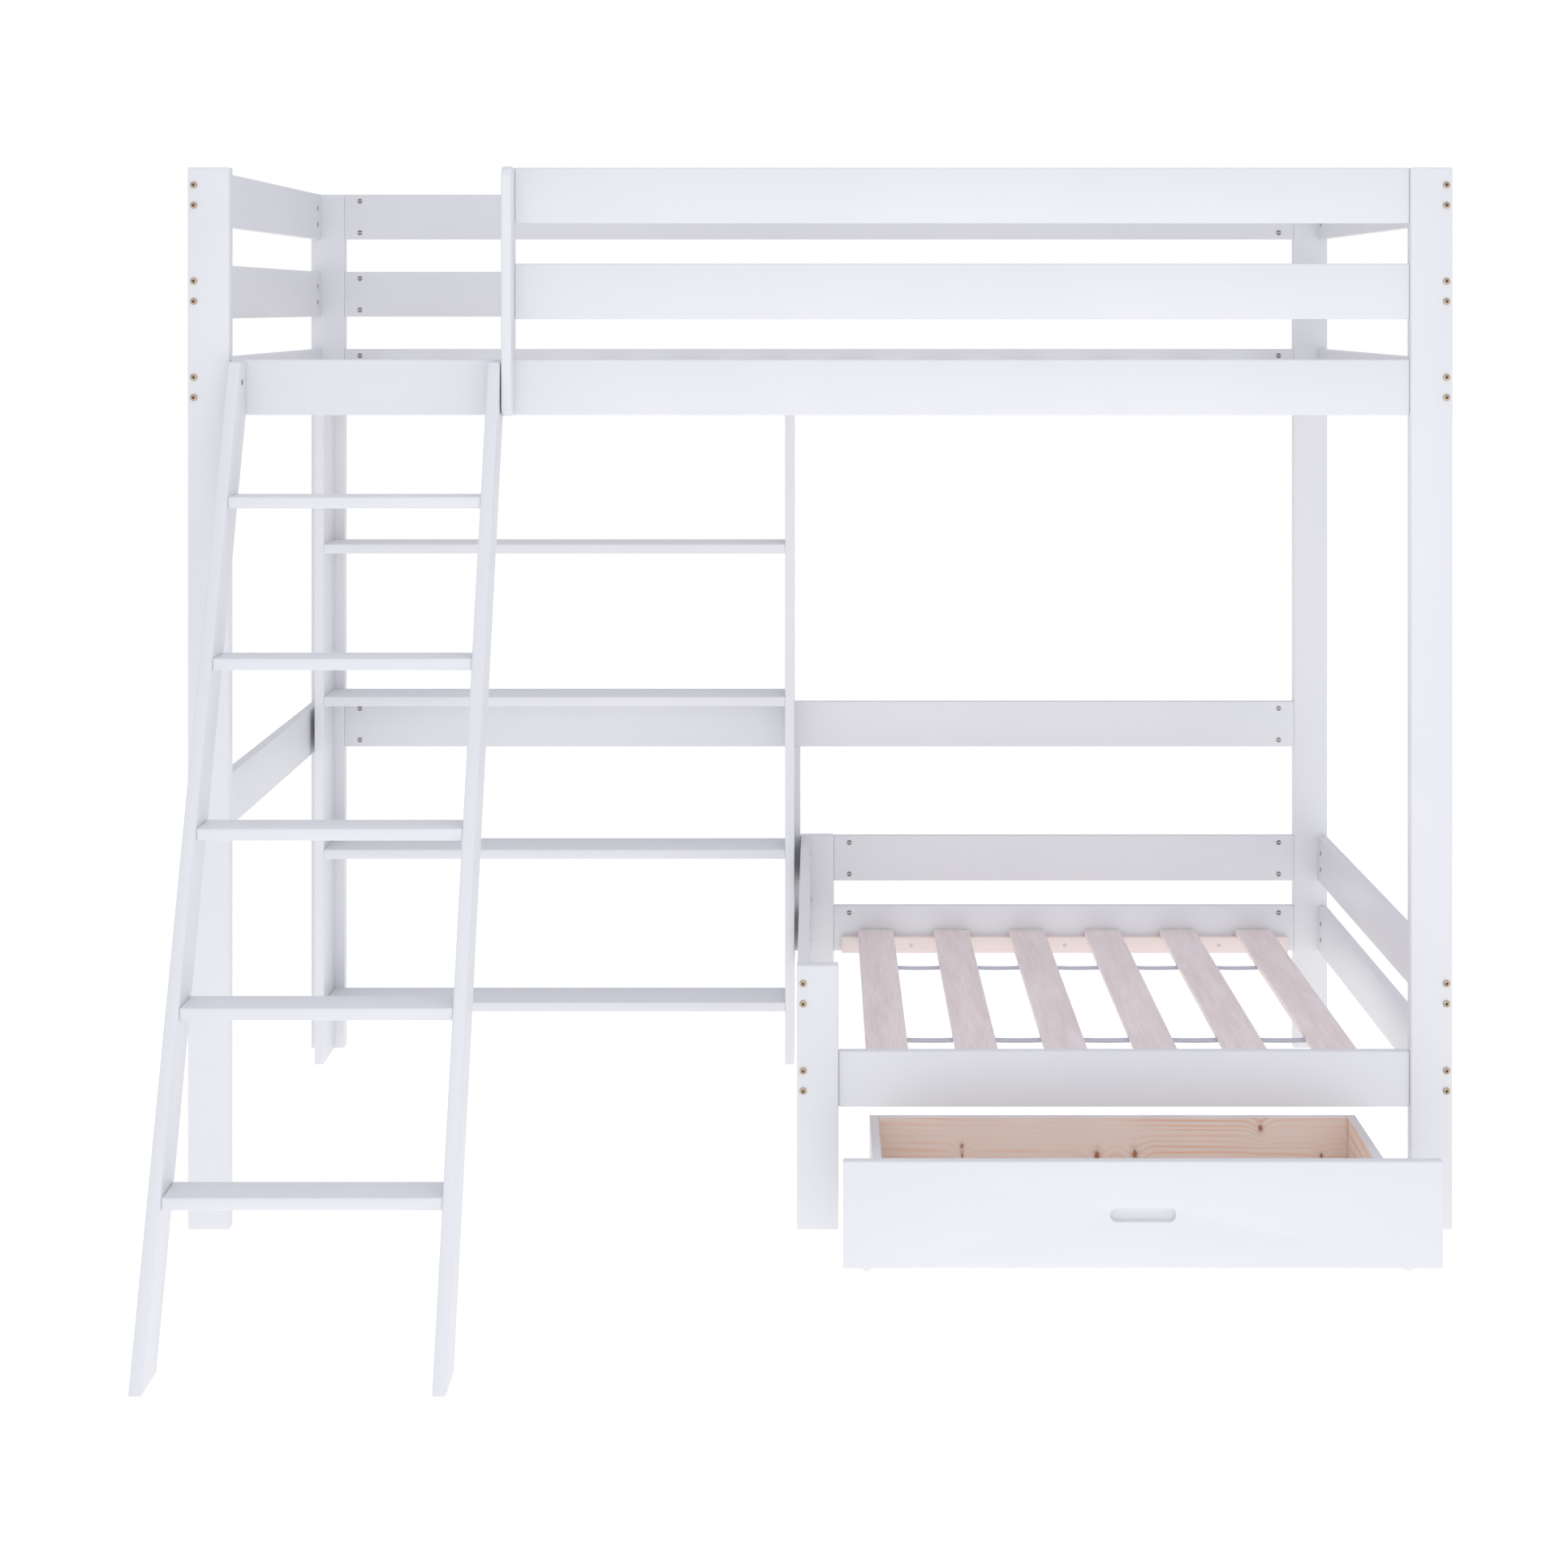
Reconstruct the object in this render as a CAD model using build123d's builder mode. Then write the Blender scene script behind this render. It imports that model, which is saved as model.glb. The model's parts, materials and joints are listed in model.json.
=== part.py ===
from build123d import *
import math
import os

# A loft bed for one mattress, with a slatted seat, a narrow shelf unit, a leaning
# ladder and a drawer on wheels below it. Sizes are in millimetres.
# X runs along the bed, Y from the front to the back, Z up from the floor.
# The origin is on the floor, midway along the bed and midway between the feet of
# the ladder and the bolt heads at the back.

# Timber sections
post_width = 66.0
post_thick = 26.0
rail_height = 88.0
rail_thick = 18.0
edge_round = 3.0
edge_bevel = 1.5

# Bed frame
bed_length = 2000.0
inner_depth = 1006.0
post_height = 1680.0
rail_pitch = 152.0
low_rail_top = 682.0
end_rail_inset = 1.0

# Guard rail end board, beside the ladder
entry_width = 500.0
guard_board_thick = 16.0
guard_board_depth = 66.0
guard_board_round = 20.0

# Slats, the ledgers that carry them and the tapes that space them
ledger_height = 31.0
ledger_thick = 20.0
ledger_end_gap = 15.0
slat_width = 70.0
slat_thick = 12.0
slat_end_gap = 3.0
bed_slat_count = 12
bed_slat_margin = 90.0
seat_slat_count = 6
seat_slat_margin = 82.0
tape_width = 25.0
tape_thick = 1.2
tape_inset = 245.0

# Seat
seat_length = 1037.0
seat_rail_bottom = 192.0
seat_rail_pitch = 138.0
stile_width = 26.0

# Shelf unit
panel_thick = 18.0
shelf_thick = 18.0
shelf_depth = 114.0
shelf_end_gap = 9.0
shelf_seat_gap = 11.0
shelf_count = 4
first_shelf_top = 120.0
top_shelf_bay = 286.0

# Ladder
ladder_reach = 647.0
ladder_width = 426.0
ladder_guard_gap = 2.0
ladder_top_drop = 3.0
stringer_width = 74.0
stringer_thick = 19.0
tread_count = 5
tread_depth = 70.0
tread_thick = 18.0
first_tread_top = 232.0
top_step = 208.0
tread_round = 4.0

# Drawer
drawer_front_height = 160.0
drawer_front_thick = 18.0
drawer_floor_gap = 25.0
drawer_side_gap = 5.0
drawer_setback = 2.0
drawer_out = 241.0
box_overhang = 47.5
box_depth = 400.0
box_height = 97.0
box_floor_gap = 31.0
box_wall = 15.0
base_thick = 5.0
base_lift = 10.0
groove_depth = 6.0
pull_length = 98.0
pull_height = 20.0
pull_depth = 11.0

# Drawer wheels
wheel_radius = 20.0
wheel_width = 14.0
wheel_bevel = 2.5
wheel_sides = 24
wheel_inset = 60.0
axle_radius = 4.0
axle_clearance = 0.05
axle_cap_radius = 7.0
axle_cap_thick = 2.0
wheel_side_gap = 1.0
bracket_thick = 3.0
bracket_width = 34.0
bracket_rise = 40.0

# Fasteners
bolt_head_radius = 5.8
bolt_head_height = 3.0
bolt_radius = 3.0
bolt_edge = 10.0
end_bolt_spacing = 32.0
rail_bolt_spacing = 62.0
ladder_bolt_drop = 32.0
nut_radius = 5.0
nut_length = 13.0
nut_setback = 30.0
nut_proud = 0.4
screw_radius = 2.2
screw_bite = 14.0
bed_ledger_screws = 5
seat_ledger_screws = 3
bracket_screw_rise = 30.0

# Planes of the frame, worked out from the sizes above
bed_depth = inner_depth + 2 * post_thick
front_y = (ladder_reach - bed_depth - bolt_head_height) / 2
back_y = front_y + bed_depth
inner_front_y = front_y + post_thick
inner_back_y = back_y - post_thick
rail_front_y = inner_front_y - rail_thick
left_x = -bed_length / 2
right_x = bed_length / 2
post_inner_left = left_x + post_width
post_inner_right = right_x - post_width
end_inner_left = left_x + end_rail_inset + rail_thick
end_inner_right = right_x - end_rail_inset - rail_thick
seat_left = right_x - seat_length
seat_inner_left = seat_left + post_width
guard_left = left_x + entry_width
guard_right = guard_left + guard_board_thick
bed_rail_bottom = post_height - rail_height - 2 * rail_pitch
guard_mid_bottom = post_height - rail_height - rail_pitch
guard_top_bottom = post_height - rail_height
low_rail_bottom = low_rail_top - rail_height
shelf_rise = bed_rail_bottom - top_shelf_bay - first_shelf_top
shelf_pitch = shelf_rise / (shelf_count - 1)
tread_rise = bed_rail_bottom + rail_height - top_step - first_tread_top
tread_pitch = tread_rise / (tread_count - 1)
seat_upper_bottom = seat_rail_bottom + seat_rail_pitch
seat_height = seat_upper_bottom + rail_height

# Spans in Y of the boards of each row, as (low, high)
front_rail_y = (rail_front_y, inner_front_y)
back_rail_y = (inner_back_y, inner_back_y + rail_thick)
front_post_y = (front_y, inner_front_y)
back_post_y = (inner_back_y, back_y)
end_rail_y = (inner_front_y, inner_back_y)

os.makedirs("parts", exist_ok=True)


def keep(name, piece):
    """Label a finished piece and write it out."""
    piece.part.label = name
    export_step(piece.part, f"parts/{name}.step")


def span(low, length):
    """The span that starts at low and runs for length."""
    return (low, low + length)


def block(x, y, z, mode=Mode.ADD):
    """Fill the spans x, y and z in the part being built, or cut them away."""
    middle = [(low + high) / 2 for low, high in (x, y, z)]
    with Locations(tuple(middle)):
        Box(x[1] - x[0], y[1] - y[0], z[1] - z[0], mode=mode)


def board(x, y, z, grain):
    """A board whose long edges, along the grain axis, are rounded."""
    with BuildPart() as piece:
        block(x, y, z)
        fillet(piece.edges().filter_by(grain), edge_round)
    return piece


def plain_board(x, y, z, grain):
    """A board whose long edges are only broken with a small bevel."""
    with BuildPart() as piece:
        block(x, y, z)
        chamfer(piece.edges().filter_by(grain), edge_bevel)
    return piece


# Four posts, flat boards that face the front and the back
front_left_span = span(left_x, post_width)
front_right_span = span(post_inner_right, post_width)
whole_height = (0, post_height)
keep("front_left_post", board(front_left_span, front_post_y, whole_height, Axis.Z))
keep("front_right_post", board(front_right_span, front_post_y, whole_height, Axis.Z))
keep("back_left_post", board(front_left_span, back_post_y, whole_height, Axis.Z))
keep("back_right_post", board(front_right_span, back_post_y, whole_height, Axis.Z))

# Front rails: the bed rail runs from post to post, the guard rails from the end board
between_posts = (post_inner_left, post_inner_right)
guard_span = (guard_right, post_inner_right)
bed_rail_z = span(bed_rail_bottom, rail_height)
guard_mid_z = span(guard_mid_bottom, rail_height)
guard_top_z = span(guard_top_bottom, rail_height)
low_rail_z = span(low_rail_bottom, rail_height)
keep("front_bed_rail", board(between_posts, front_rail_y, bed_rail_z, Axis.X))
keep("guard_mid_rail", board(guard_span, front_rail_y, guard_mid_z, Axis.X))
keep("guard_top_rail", board(guard_span, front_rail_y, guard_top_z, Axis.X))

# The guard's end board stands edge on, and is notched at its foot over the bed rail
guard_front_y = inner_front_y - guard_board_depth
with BuildPart() as guard_end_board:
    with BuildSketch(Plane.YZ.offset(guard_left)):
        with BuildLine():
            Polyline(
                (guard_front_y, bed_rail_bottom),
                (rail_front_y, bed_rail_bottom),
                (rail_front_y, bed_rail_z[1]),
                (inner_front_y, bed_rail_z[1]),
                (inner_front_y, post_height),
                (guard_front_y, post_height),
                close=True,
            )
        make_face()
    extrude(amount=guard_board_thick)
    front_corners = guard_end_board.edges().filter_by(Axis.X).group_by(Axis.Y)[0]
    fillet(front_corners, guard_board_round)
keep("guard_end_board", guard_end_board)

# Back rails, flush with the inner faces of the back posts
back_rail_spans = {
    "back_top_rail": guard_top_z,
    "back_mid_rail": guard_mid_z,
    "back_bed_rail": bed_rail_z,
    "back_low_rail": low_rail_z,
}
for name, z in back_rail_spans.items():
    keep(name, plain_board(between_posts, back_rail_y, z, Axis.X))

# End rails, butted between the front and back posts at each end of the bed
left_rail_x = span(left_x + end_rail_inset, rail_thick)
right_rail_x = span(end_inner_right, rail_thick)
left_rail_spans = {
    "left_top_rail": guard_top_z,
    "left_mid_rail": guard_mid_z,
    "left_bed_rail": bed_rail_z,
    "left_low_rail": low_rail_z,
}
seat_lower_z = span(seat_rail_bottom, rail_height)
seat_upper_z = span(seat_upper_bottom, rail_height)
right_rail_spans = {
    "right_top_rail": guard_top_z,
    "right_mid_rail": guard_mid_z,
    "right_bed_rail": bed_rail_z,
    "seat_right_upper_rail": seat_upper_z,
    "seat_right_lower_rail": seat_lower_z,
}
for name, z in left_rail_spans.items():
    keep(name, plain_board(left_rail_x, end_rail_y, z, Axis.Y))
for name, z in right_rail_spans.items():
    keep(name, plain_board(right_rail_x, end_rail_y, z, Axis.Y))

# Seat: two short legs carry its left end, the posts on the right carry the other
seat_leg_x = span(seat_left, post_width)
seat_rail_x = (seat_inner_left, post_inner_right)
seat_left_rail_x = span(seat_left + end_rail_inset, rail_thick)
seat_leg_z = (0, seat_height)
keep("seat_front_leg", board(seat_leg_x, front_post_y, seat_leg_z, Axis.Z))
keep("seat_back_leg", board(seat_leg_x, back_post_y, seat_leg_z, Axis.Z))
keep("seat_front_rail", board(seat_rail_x, front_rail_y, seat_lower_z, Axis.X))
seat_levels = {"upper": seat_upper_z, "lower": seat_lower_z}
for level, z in seat_levels.items():
    back_rail = plain_board(seat_rail_x, back_rail_y, z, Axis.X)
    left_rail = plain_board(seat_left_rail_x, end_rail_y, z, Axis.Y)
    keep(f"seat_back_{level}_rail", back_rail)
    keep(f"seat_left_{level}_rail", left_rail)

# An upright beside the back leg carries the shelf unit and meets the low back rail
stile_x = span(seat_left - stile_width, stile_width)
stile_z = (seat_rail_bottom, low_rail_bottom)
keep("back_stile", plain_board(stile_x, back_rail_y, stile_z, Axis.Z))


def add_ledgers(x_span, bottom):
    """Two ledgers on the inner faces of a front and a back rail, at their foot."""
    x = (x_span[0] + ledger_end_gap, x_span[1] - ledger_end_gap)
    z = span(bottom, ledger_height)
    block(x, span(inner_front_y, ledger_thick), z)
    block(x, span(inner_back_y - ledger_thick, ledger_thick), z)


def slat_row(low_x, high_x, count, bottom):
    """Slats across the bed, spread evenly between two centre lines."""
    length = inner_depth - 2 * slat_end_gap
    pitch = (high_x - low_x) / (count - 1)
    middle_x = (low_x + high_x) / 2
    middle_y = (inner_front_y + inner_back_y) / 2
    with BuildPart() as row:
        with BuildSketch(Plane.XY.offset(bottom)):
            with Locations((middle_x, middle_y)):
                with GridLocations(pitch, length, count, 1):
                    Rectangle(slat_width, length)
        extrude(amount=slat_thick)
        chamfer(row.edges().filter_by(Axis.Y), edge_bevel)
    return row


def add_tapes(low_x, high_x, bottom):
    """Two flat tapes that run under a row of slats, from the first to the last."""
    x = (low_x - slat_width / 2, high_x + slat_width / 2)
    z = (bottom - tape_thick, bottom)
    block(x, span(inner_front_y + tape_inset, tape_width), z)
    block(x, span(inner_back_y - tape_inset - tape_width, tape_width), z)


bed_slat_z = bed_rail_bottom + ledger_height
seat_slat_z = seat_rail_bottom + ledger_height
first_bed_slat = end_inner_left + bed_slat_margin
last_bed_slat = end_inner_right - bed_slat_margin
first_seat_slat = seat_inner_left + seat_slat_margin
last_seat_slat = post_inner_right - seat_slat_margin
bed_slats = slat_row(first_bed_slat, last_bed_slat, bed_slat_count, bed_slat_z)
seat_slats = slat_row(first_seat_slat, last_seat_slat, seat_slat_count, seat_slat_z)
with BuildPart() as slat_ledgers:
    add_ledgers(between_posts, bed_rail_bottom)
    add_ledgers(seat_rail_x, seat_rail_bottom)
    chamfer(slat_ledgers.edges().filter_by(Axis.X), edge_bevel)
keep("slat_ledgers", slat_ledgers)
keep("bed_slats", bed_slats)
keep("seat_slats", seat_slats)
with BuildPart() as slat_tapes:
    add_tapes(first_bed_slat, last_bed_slat, bed_slat_z)
    add_tapes(first_seat_slat, last_seat_slat, seat_slat_z)
keep("slat_tapes", slat_tapes)

# Shelf unit: two side panels against the back frame, with the shelves between them
shelf_left_x = span(end_inner_left + shelf_end_gap, panel_thick)
shelf_right_x = span(seat_left - shelf_seat_gap - panel_thick, panel_thick)
shelf_y = span(inner_back_y - shelf_depth, shelf_depth)
panel_z = (0, bed_rail_bottom)
shelf_x = (shelf_left_x[1], shelf_right_x[0])
keep("shelf_left_panel", plain_board(shelf_left_x, shelf_y, panel_z, Axis.Z))
keep("shelf_right_panel", plain_board(shelf_right_x, shelf_y, panel_z, Axis.Z))
for number in range(shelf_count):
    shelf_top = first_shelf_top + number * shelf_pitch
    shelf_z = (shelf_top - shelf_thick, shelf_top)
    keep(f"shelf_{number + 1}", plain_board(shelf_x, shelf_y, shelf_z, Axis.X))

# Ladder: each stringer stands on the floor and is cut upright where it bears on the
# bed rail. Its lean follows from its reach, its width and the foot of that rail.
ladder_run = ladder_reach + rail_front_y - front_y
ladder_hypotenuse = math.hypot(ladder_run, bed_rail_bottom)
ladder_lean = math.acos(stringer_width / ladder_hypotenuse) - math.atan2(
    bed_rail_bottom, ladder_run
)
stringer_level = stringer_width / math.cos(ladder_lean)
ladder_top = bed_rail_z[1] - ladder_top_drop
ladder_foot_y = front_y - ladder_reach
ladder_right_x = guard_left - ladder_guard_gap
ladder_left_x = ladder_right_x - ladder_width
tread_x = (ladder_left_x + stringer_thick, ladder_right_x - stringer_thick)


def stringer_front(z):
    """Where the front edge of a stringer is at height z."""
    return ladder_foot_y + z * math.tan(ladder_lean)


def stringer(low_x):
    """One side of the ladder, with its upright edges rounded."""
    with BuildPart() as side:
        with BuildSketch(Plane.YZ.offset(low_x)):
            with BuildLine():
                Polyline(
                    (ladder_foot_y, 0),
                    (ladder_foot_y + stringer_level, 0),
                    (rail_front_y, bed_rail_bottom),
                    (rail_front_y, ladder_top),
                    (stringer_front(ladder_top), ladder_top),
                    close=True,
                )
            make_face()
        extrude(amount=stringer_thick)
        slope = Vector(0, math.sin(ladder_lean), math.cos(ladder_lean))
        sloped = side.edges().filter_by(Axis((0, 0, 0), slope))
        fillet(sloped, edge_round)
    return side


def tread(number):
    """One level tread, centred between the edges of the stringers."""
    top = first_tread_top + number * tread_pitch
    middle = stringer_front(top - tread_thick / 2) + stringer_level / 2
    y = (middle - tread_depth / 2, middle + tread_depth / 2)
    with BuildPart() as step:
        block(tread_x, y, (top - tread_thick, top))
        fillet(step.edges().filter_by(Axis.X), tread_round)
    return step


keep("ladder_left_stringer", stringer(ladder_left_x))
keep("ladder_right_stringer", stringer(ladder_right_x - stringer_thick))
for number in range(tread_count):
    keep(f"ladder_tread_{number + 1}", tread(number))

# Drawer, shown as far out as it is left in use
drawer_x = (seat_inner_left + drawer_side_gap, post_inner_right - drawer_side_gap)
drawer_y = front_y + drawer_setback - drawer_out
drawer_front_y = span(drawer_y, drawer_front_thick)
drawer_front_z = span(drawer_floor_gap, drawer_front_height)
box_x = (drawer_x[0] + box_overhang, drawer_x[1] - box_overhang)
box_y = span(drawer_front_y[1], box_depth)
box_z = span(box_floor_gap, box_height)
base_z = span(box_floor_gap + base_lift, base_thick)
base_x = (box_x[0] + box_wall - groove_depth, box_x[1] - box_wall + groove_depth)
base_y = (box_y[0], box_y[1] - box_wall + groove_depth)

with BuildPart() as drawer_front:
    block(drawer_x, drawer_front_y, drawer_front_z)
    fillet(drawer_front.edges().filter_by(Axis.X), edge_round)
    pull_middle = (drawer_front_z[0] + drawer_front_z[1]) / 2
    with BuildSketch(Plane.XZ.offset(-drawer_y)):
        with Locations(((drawer_x[0] + drawer_x[1]) / 2, pull_middle)):
            SlotOverall(pull_length, pull_height)
    extrude(amount=-pull_depth, mode=Mode.SUBTRACT)
keep("drawer_front", drawer_front)


def drawer_side(low_x):
    """A side wall of the drawer box, grooved for the base."""
    with BuildPart() as wall:
        block(span(low_x, box_wall), box_y, box_z)
        block(base_x, base_y, base_z, Mode.SUBTRACT)
    return wall


keep("drawer_left_side", drawer_side(box_x[0]))
keep("drawer_right_side", drawer_side(box_x[1] - box_wall))
with BuildPart() as drawer_back:
    block((box_x[0] + box_wall, box_x[1] - box_wall), (box_y[1] - box_wall, box_y[1]), box_z)
    block(base_x, base_y, base_z, Mode.SUBTRACT)
keep("drawer_back", drawer_back)
with BuildPart() as drawer_base:
    block(base_x, base_y, base_z)
keep("drawer_base", drawer_base)

# Each wheel turns on a stub axle that stands out from a bracket beside the box
axle_reach = bracket_thick + 2 * wheel_side_gap + wheel_width
wheel_names = {
    "front_left_wheel": (-1, box_y[0] + wheel_inset),
    "back_left_wheel": (-1, box_y[1] - wheel_inset),
    "front_right_wheel": (1, box_y[0] + wheel_inset),
    "back_right_wheel": (1, box_y[1] - wheel_inset),
}


def side_plane(side, y):
    """A plane on the drawer's outer side, facing outwards, centred on an axle."""
    x = box_x[0] if side < 0 else box_x[1]
    return Plane(origin=(x, y, wheel_radius), x_dir=(0, side, 0), z_dir=(side, 0, 0))


def wheel(side, y):
    """A solid, many-sided wheel with a bevelled rim and a round running bore."""
    plane = side_plane(side, y).offset(bracket_thick + wheel_side_gap)
    with BuildPart() as disc:
        with BuildSketch(plane):
            RegularPolygon(wheel_radius, wheel_sides)
        extrude(amount=wheel_width)
        rims = disc.edges().filter_by(Axis.X, reverse=True)
        chamfer(rims, wheel_bevel)
        with BuildSketch(plane):
            Circle(axle_radius + axle_clearance)
        extrude(amount=wheel_width, mode=Mode.SUBTRACT)
    return disc


for name, (side, y) in wheel_names.items():
    keep(name, wheel(side, y))

with BuildPart() as wheel_brackets:
    for side, y in wheel_names.values():
        foot = bracket_width / 4
        with BuildSketch(side_plane(side, y)):
            with BuildLine():
                Polyline(
                    (-foot, -foot),
                    (foot, -foot),
                    (bracket_width / 2, bracket_rise / 2),
                    (bracket_width / 2, bracket_rise),
                    (-bracket_width / 2, bracket_rise),
                    (-bracket_width / 2, bracket_rise / 2),
                    close=True,
                )
            make_face()
        extrude(amount=bracket_thick)
        with BuildSketch(side_plane(side, y).offset(bracket_thick)):
            Circle(axle_radius)
        extrude(amount=axle_reach - bracket_thick)
        with BuildSketch(side_plane(side, y).offset(axle_reach)):
            RegularPolygon(axle_cap_radius, 6)
        extrude(amount=axle_cap_thick)
keep("wheel_brackets", wheel_brackets)

# Every bolt ends in a barrel nut, set across it in the board that it draws up. Bolts
# are kept by how much they pass through on the way: a post's thickness, a post's
# width, the guard's end board or the bed rail.
outward_left = (-1, 0, 0)
outward_right = (1, 0, 0)
outward_front = (0, -1, 0)
outward_back = (0, 1, 0)
post_bolts = []
rail_bolts = []
guard_bolts = []
ladder_bolts = []
barrel_planes = []


def facing(x, y, z, outward):
    """A plane at a point on a face, looking outward from that face."""
    return Plane(origin=(x, y, z), z_dir=outward)


def pair(z, spacing):
    """Two heights, spaced evenly about the middle of the span z."""
    middle = (z[0] + z[1]) / 2
    return (middle - spacing / 2, middle + spacing / 2)


def join_end_rail(bolt_x, face_x, inward, rail_z):
    """Bolts through a front and a back post into the ends of one end rail."""
    for z in pair(rail_z, end_bolt_spacing):
        post_bolts.append(facing(bolt_x, front_y, z, outward_front))
        post_bolts.append(facing(bolt_x, back_y, z, outward_back))
        for y in (inner_front_y + nut_setback, inner_back_y - nut_setback):
            barrel_planes.append(facing(face_x, y, z, inward))


def join_long_rail(bolts, head_x, outward, end_x, rail_y, inward, rail_z):
    """Bolts along X into one end of a front or back rail, with their nuts."""
    middle_y = (rail_y[0] + rail_y[1]) / 2
    face_y = rail_y[1] if inward == outward_back else rail_y[0]
    nut_x = end_x - outward[0] * nut_setback
    for z in pair(rail_z, rail_bolt_spacing):
        bolts.append(facing(head_x, middle_y, z, outward))
        barrel_planes.append(facing(nut_x, face_y, z, inward))


def join_between_posts(left_head, left_end, rail_y, inward, rail_z):
    """Bolts along X at both ends of a rail that ends at the right-hand posts."""
    sizes = (rail_y, inward, rail_z)
    join_long_rail(rail_bolts, left_head, outward_left, left_end, *sizes)
    join_long_rail(rail_bolts, right_x, outward_right, post_inner_right, *sizes)


for z in left_rail_spans.values():
    join_end_rail(left_x + bolt_edge, end_inner_left, outward_right, z)
for z in right_rail_spans.values():
    join_end_rail(right_x - bolt_edge, end_inner_right, outward_left, z)
for z in seat_levels.values():
    join_end_rail(seat_left + bolt_edge, seat_left_rail_x[1], outward_right, z)

front_rail = (front_rail_y, outward_back)
back_rail = (back_rail_y, outward_front)
for z in back_rail_spans.values():
    join_between_posts(left_x, post_inner_left, *back_rail, z)
for z in seat_levels.values():
    join_between_posts(seat_left, seat_inner_left, *back_rail, z)
join_between_posts(left_x, post_inner_left, *front_rail, bed_rail_z)
join_between_posts(seat_left, seat_inner_left, *front_rail, seat_lower_z)
for z in (guard_mid_z, guard_top_z):
    guard_end = (guard_bolts, guard_left, outward_left, guard_right)
    post_end = (rail_bolts, right_x, outward_right, post_inner_right)
    join_long_rail(*guard_end, *front_rail, z)
    join_long_rail(*post_end, *front_rail, z)

ladder_bolt_z = ladder_top - ladder_bolt_drop
ladder_nut_y = rail_front_y - nut_setback
for x, inner_x, inward in (
    (ladder_left_x + stringer_thick / 2, tread_x[0], outward_right),
    (ladder_right_x - stringer_thick / 2, tread_x[1], outward_left),
):
    ladder_bolts.append(facing(x, inner_front_y, ladder_bolt_z, outward_back))
    barrel_planes.append(facing(inner_x, ladder_nut_y, ladder_bolt_z, inward))


# Heads and shanks are low-sided; a head that stands out by 0 sits flush
bolt_groups = [
    (post_bolts, post_thick, bolt_head_height),
    (rail_bolts, post_width, 0),
    (guard_bolts, guard_board_thick, 0),
    (ladder_bolts, rail_thick, bolt_head_height),
]
with BuildPart() as frame_bolts:
    for planes, passes, stands_out in bolt_groups:
        sunk = bolt_head_height - stands_out
        head_bases = [plane.offset(-sunk) for plane in planes]
        with BuildSketch(*head_bases):
            RegularPolygon(bolt_head_radius, 6)
        extrude(amount=bolt_head_height)
        with BuildSketch(*head_bases):
            RegularPolygon(bolt_radius, 6)
        extrude(amount=sunk - passes - nut_setback - nut_radius)
keep("frame_bolts", frame_bolts)

with BuildPart() as barrel_nuts:
    with BuildSketch(*[plane.offset(nut_proud) for plane in barrel_planes]):
        RegularPolygon(nut_radius, 6)
    extrude(amount=-nut_length)
keep("barrel_nuts", barrel_nuts)

# Wood screws, set flush, kept by how much they pass through before they bite
tread_screws = []
shelf_screws = []
ledger_screws = []
stile_screws = []
post_screws = []
rail_screws = []
leg_screws = []
corner_screws = []
bracket_screws = []


def quarters(low, high):
    """The two points a quarter of the way in from each end of a span."""
    inset = (high - low) / 4
    return (low + inset, high - inset)


for number in range(tread_count):
    z = first_tread_top + number * tread_pitch - tread_thick / 2
    middle = stringer_front(z) + stringer_level / 2
    for y in quarters(middle - tread_depth / 2, middle + tread_depth / 2):
        tread_screws.append(facing(ladder_left_x, y, z, outward_left))
        tread_screws.append(facing(ladder_right_x, y, z, outward_right))
for number in range(shelf_count):
    z = first_shelf_top + number * shelf_pitch - shelf_thick / 2
    for y in quarters(*shelf_y):
        shelf_screws.append(facing(shelf_left_x[0], y, z, outward_left))
        shelf_screws.append(facing(shelf_right_x[1], y, z, outward_right))


def screw_ledgers(x_span, bottom, count):
    """A row of screws through each of two ledgers into its rail."""
    z = bottom + ledger_height / 2
    pitch = (x_span[1] - x_span[0]) / count
    for number in range(count):
        x = x_span[0] + (number + 0.5) * pitch
        front_face = inner_front_y + ledger_thick
        ledger_screws.append(facing(x, front_face, z, outward_back))
        back_face = inner_back_y - ledger_thick
        ledger_screws.append(facing(x, back_face, z, outward_front))


screw_ledgers(between_posts, bed_rail_bottom, bed_ledger_screws)
screw_ledgers(seat_rail_x, seat_rail_bottom, seat_ledger_screws)

# The shelf unit is screwed from behind, through the post, the upright and the rails
stile_face = back_rail_y[1]
left_panel_x = sum(shelf_left_x) / 2
stile_lap_x = (max(stile_x[0], shelf_right_x[0]) + shelf_right_x[1]) / 2
low_rail_middle = sum(low_rail_z) / 2
for z in quarters(0, bed_rail_bottom):
    post_screws.append(facing(left_panel_x, back_y, z, outward_back))
for z in quarters(*stile_z):
    stile_screws.append(facing(stile_lap_x, stile_face, z, outward_back))
rail_screws.append(facing(stile_lap_x, stile_face, low_rail_middle, outward_back))
stile_middle_y = sum(back_rail_y) / 2
for z in quarters(seat_lower_z[1], seat_upper_z[0]):
    leg_screws.append(facing(stile_x[0], stile_middle_y, z, outward_left))
for z in quarters(*box_z):
    y = box_y[1] - box_wall / 2
    corner_screws.append(facing(box_x[0], y, z, outward_left))
    corner_screws.append(facing(box_x[1], y, z, outward_right))
for side, y in wheel_names.values():
    face_x = side_plane(side, y).offset(bracket_thick).origin.X
    outward = outward_left if side < 0 else outward_right
    for screw_y in quarters(y - bracket_width / 2, y + bracket_width / 2):
        z = wheel_radius + bracket_screw_rise
        bracket_screws.append(facing(face_x, screw_y, z, outward))


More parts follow.
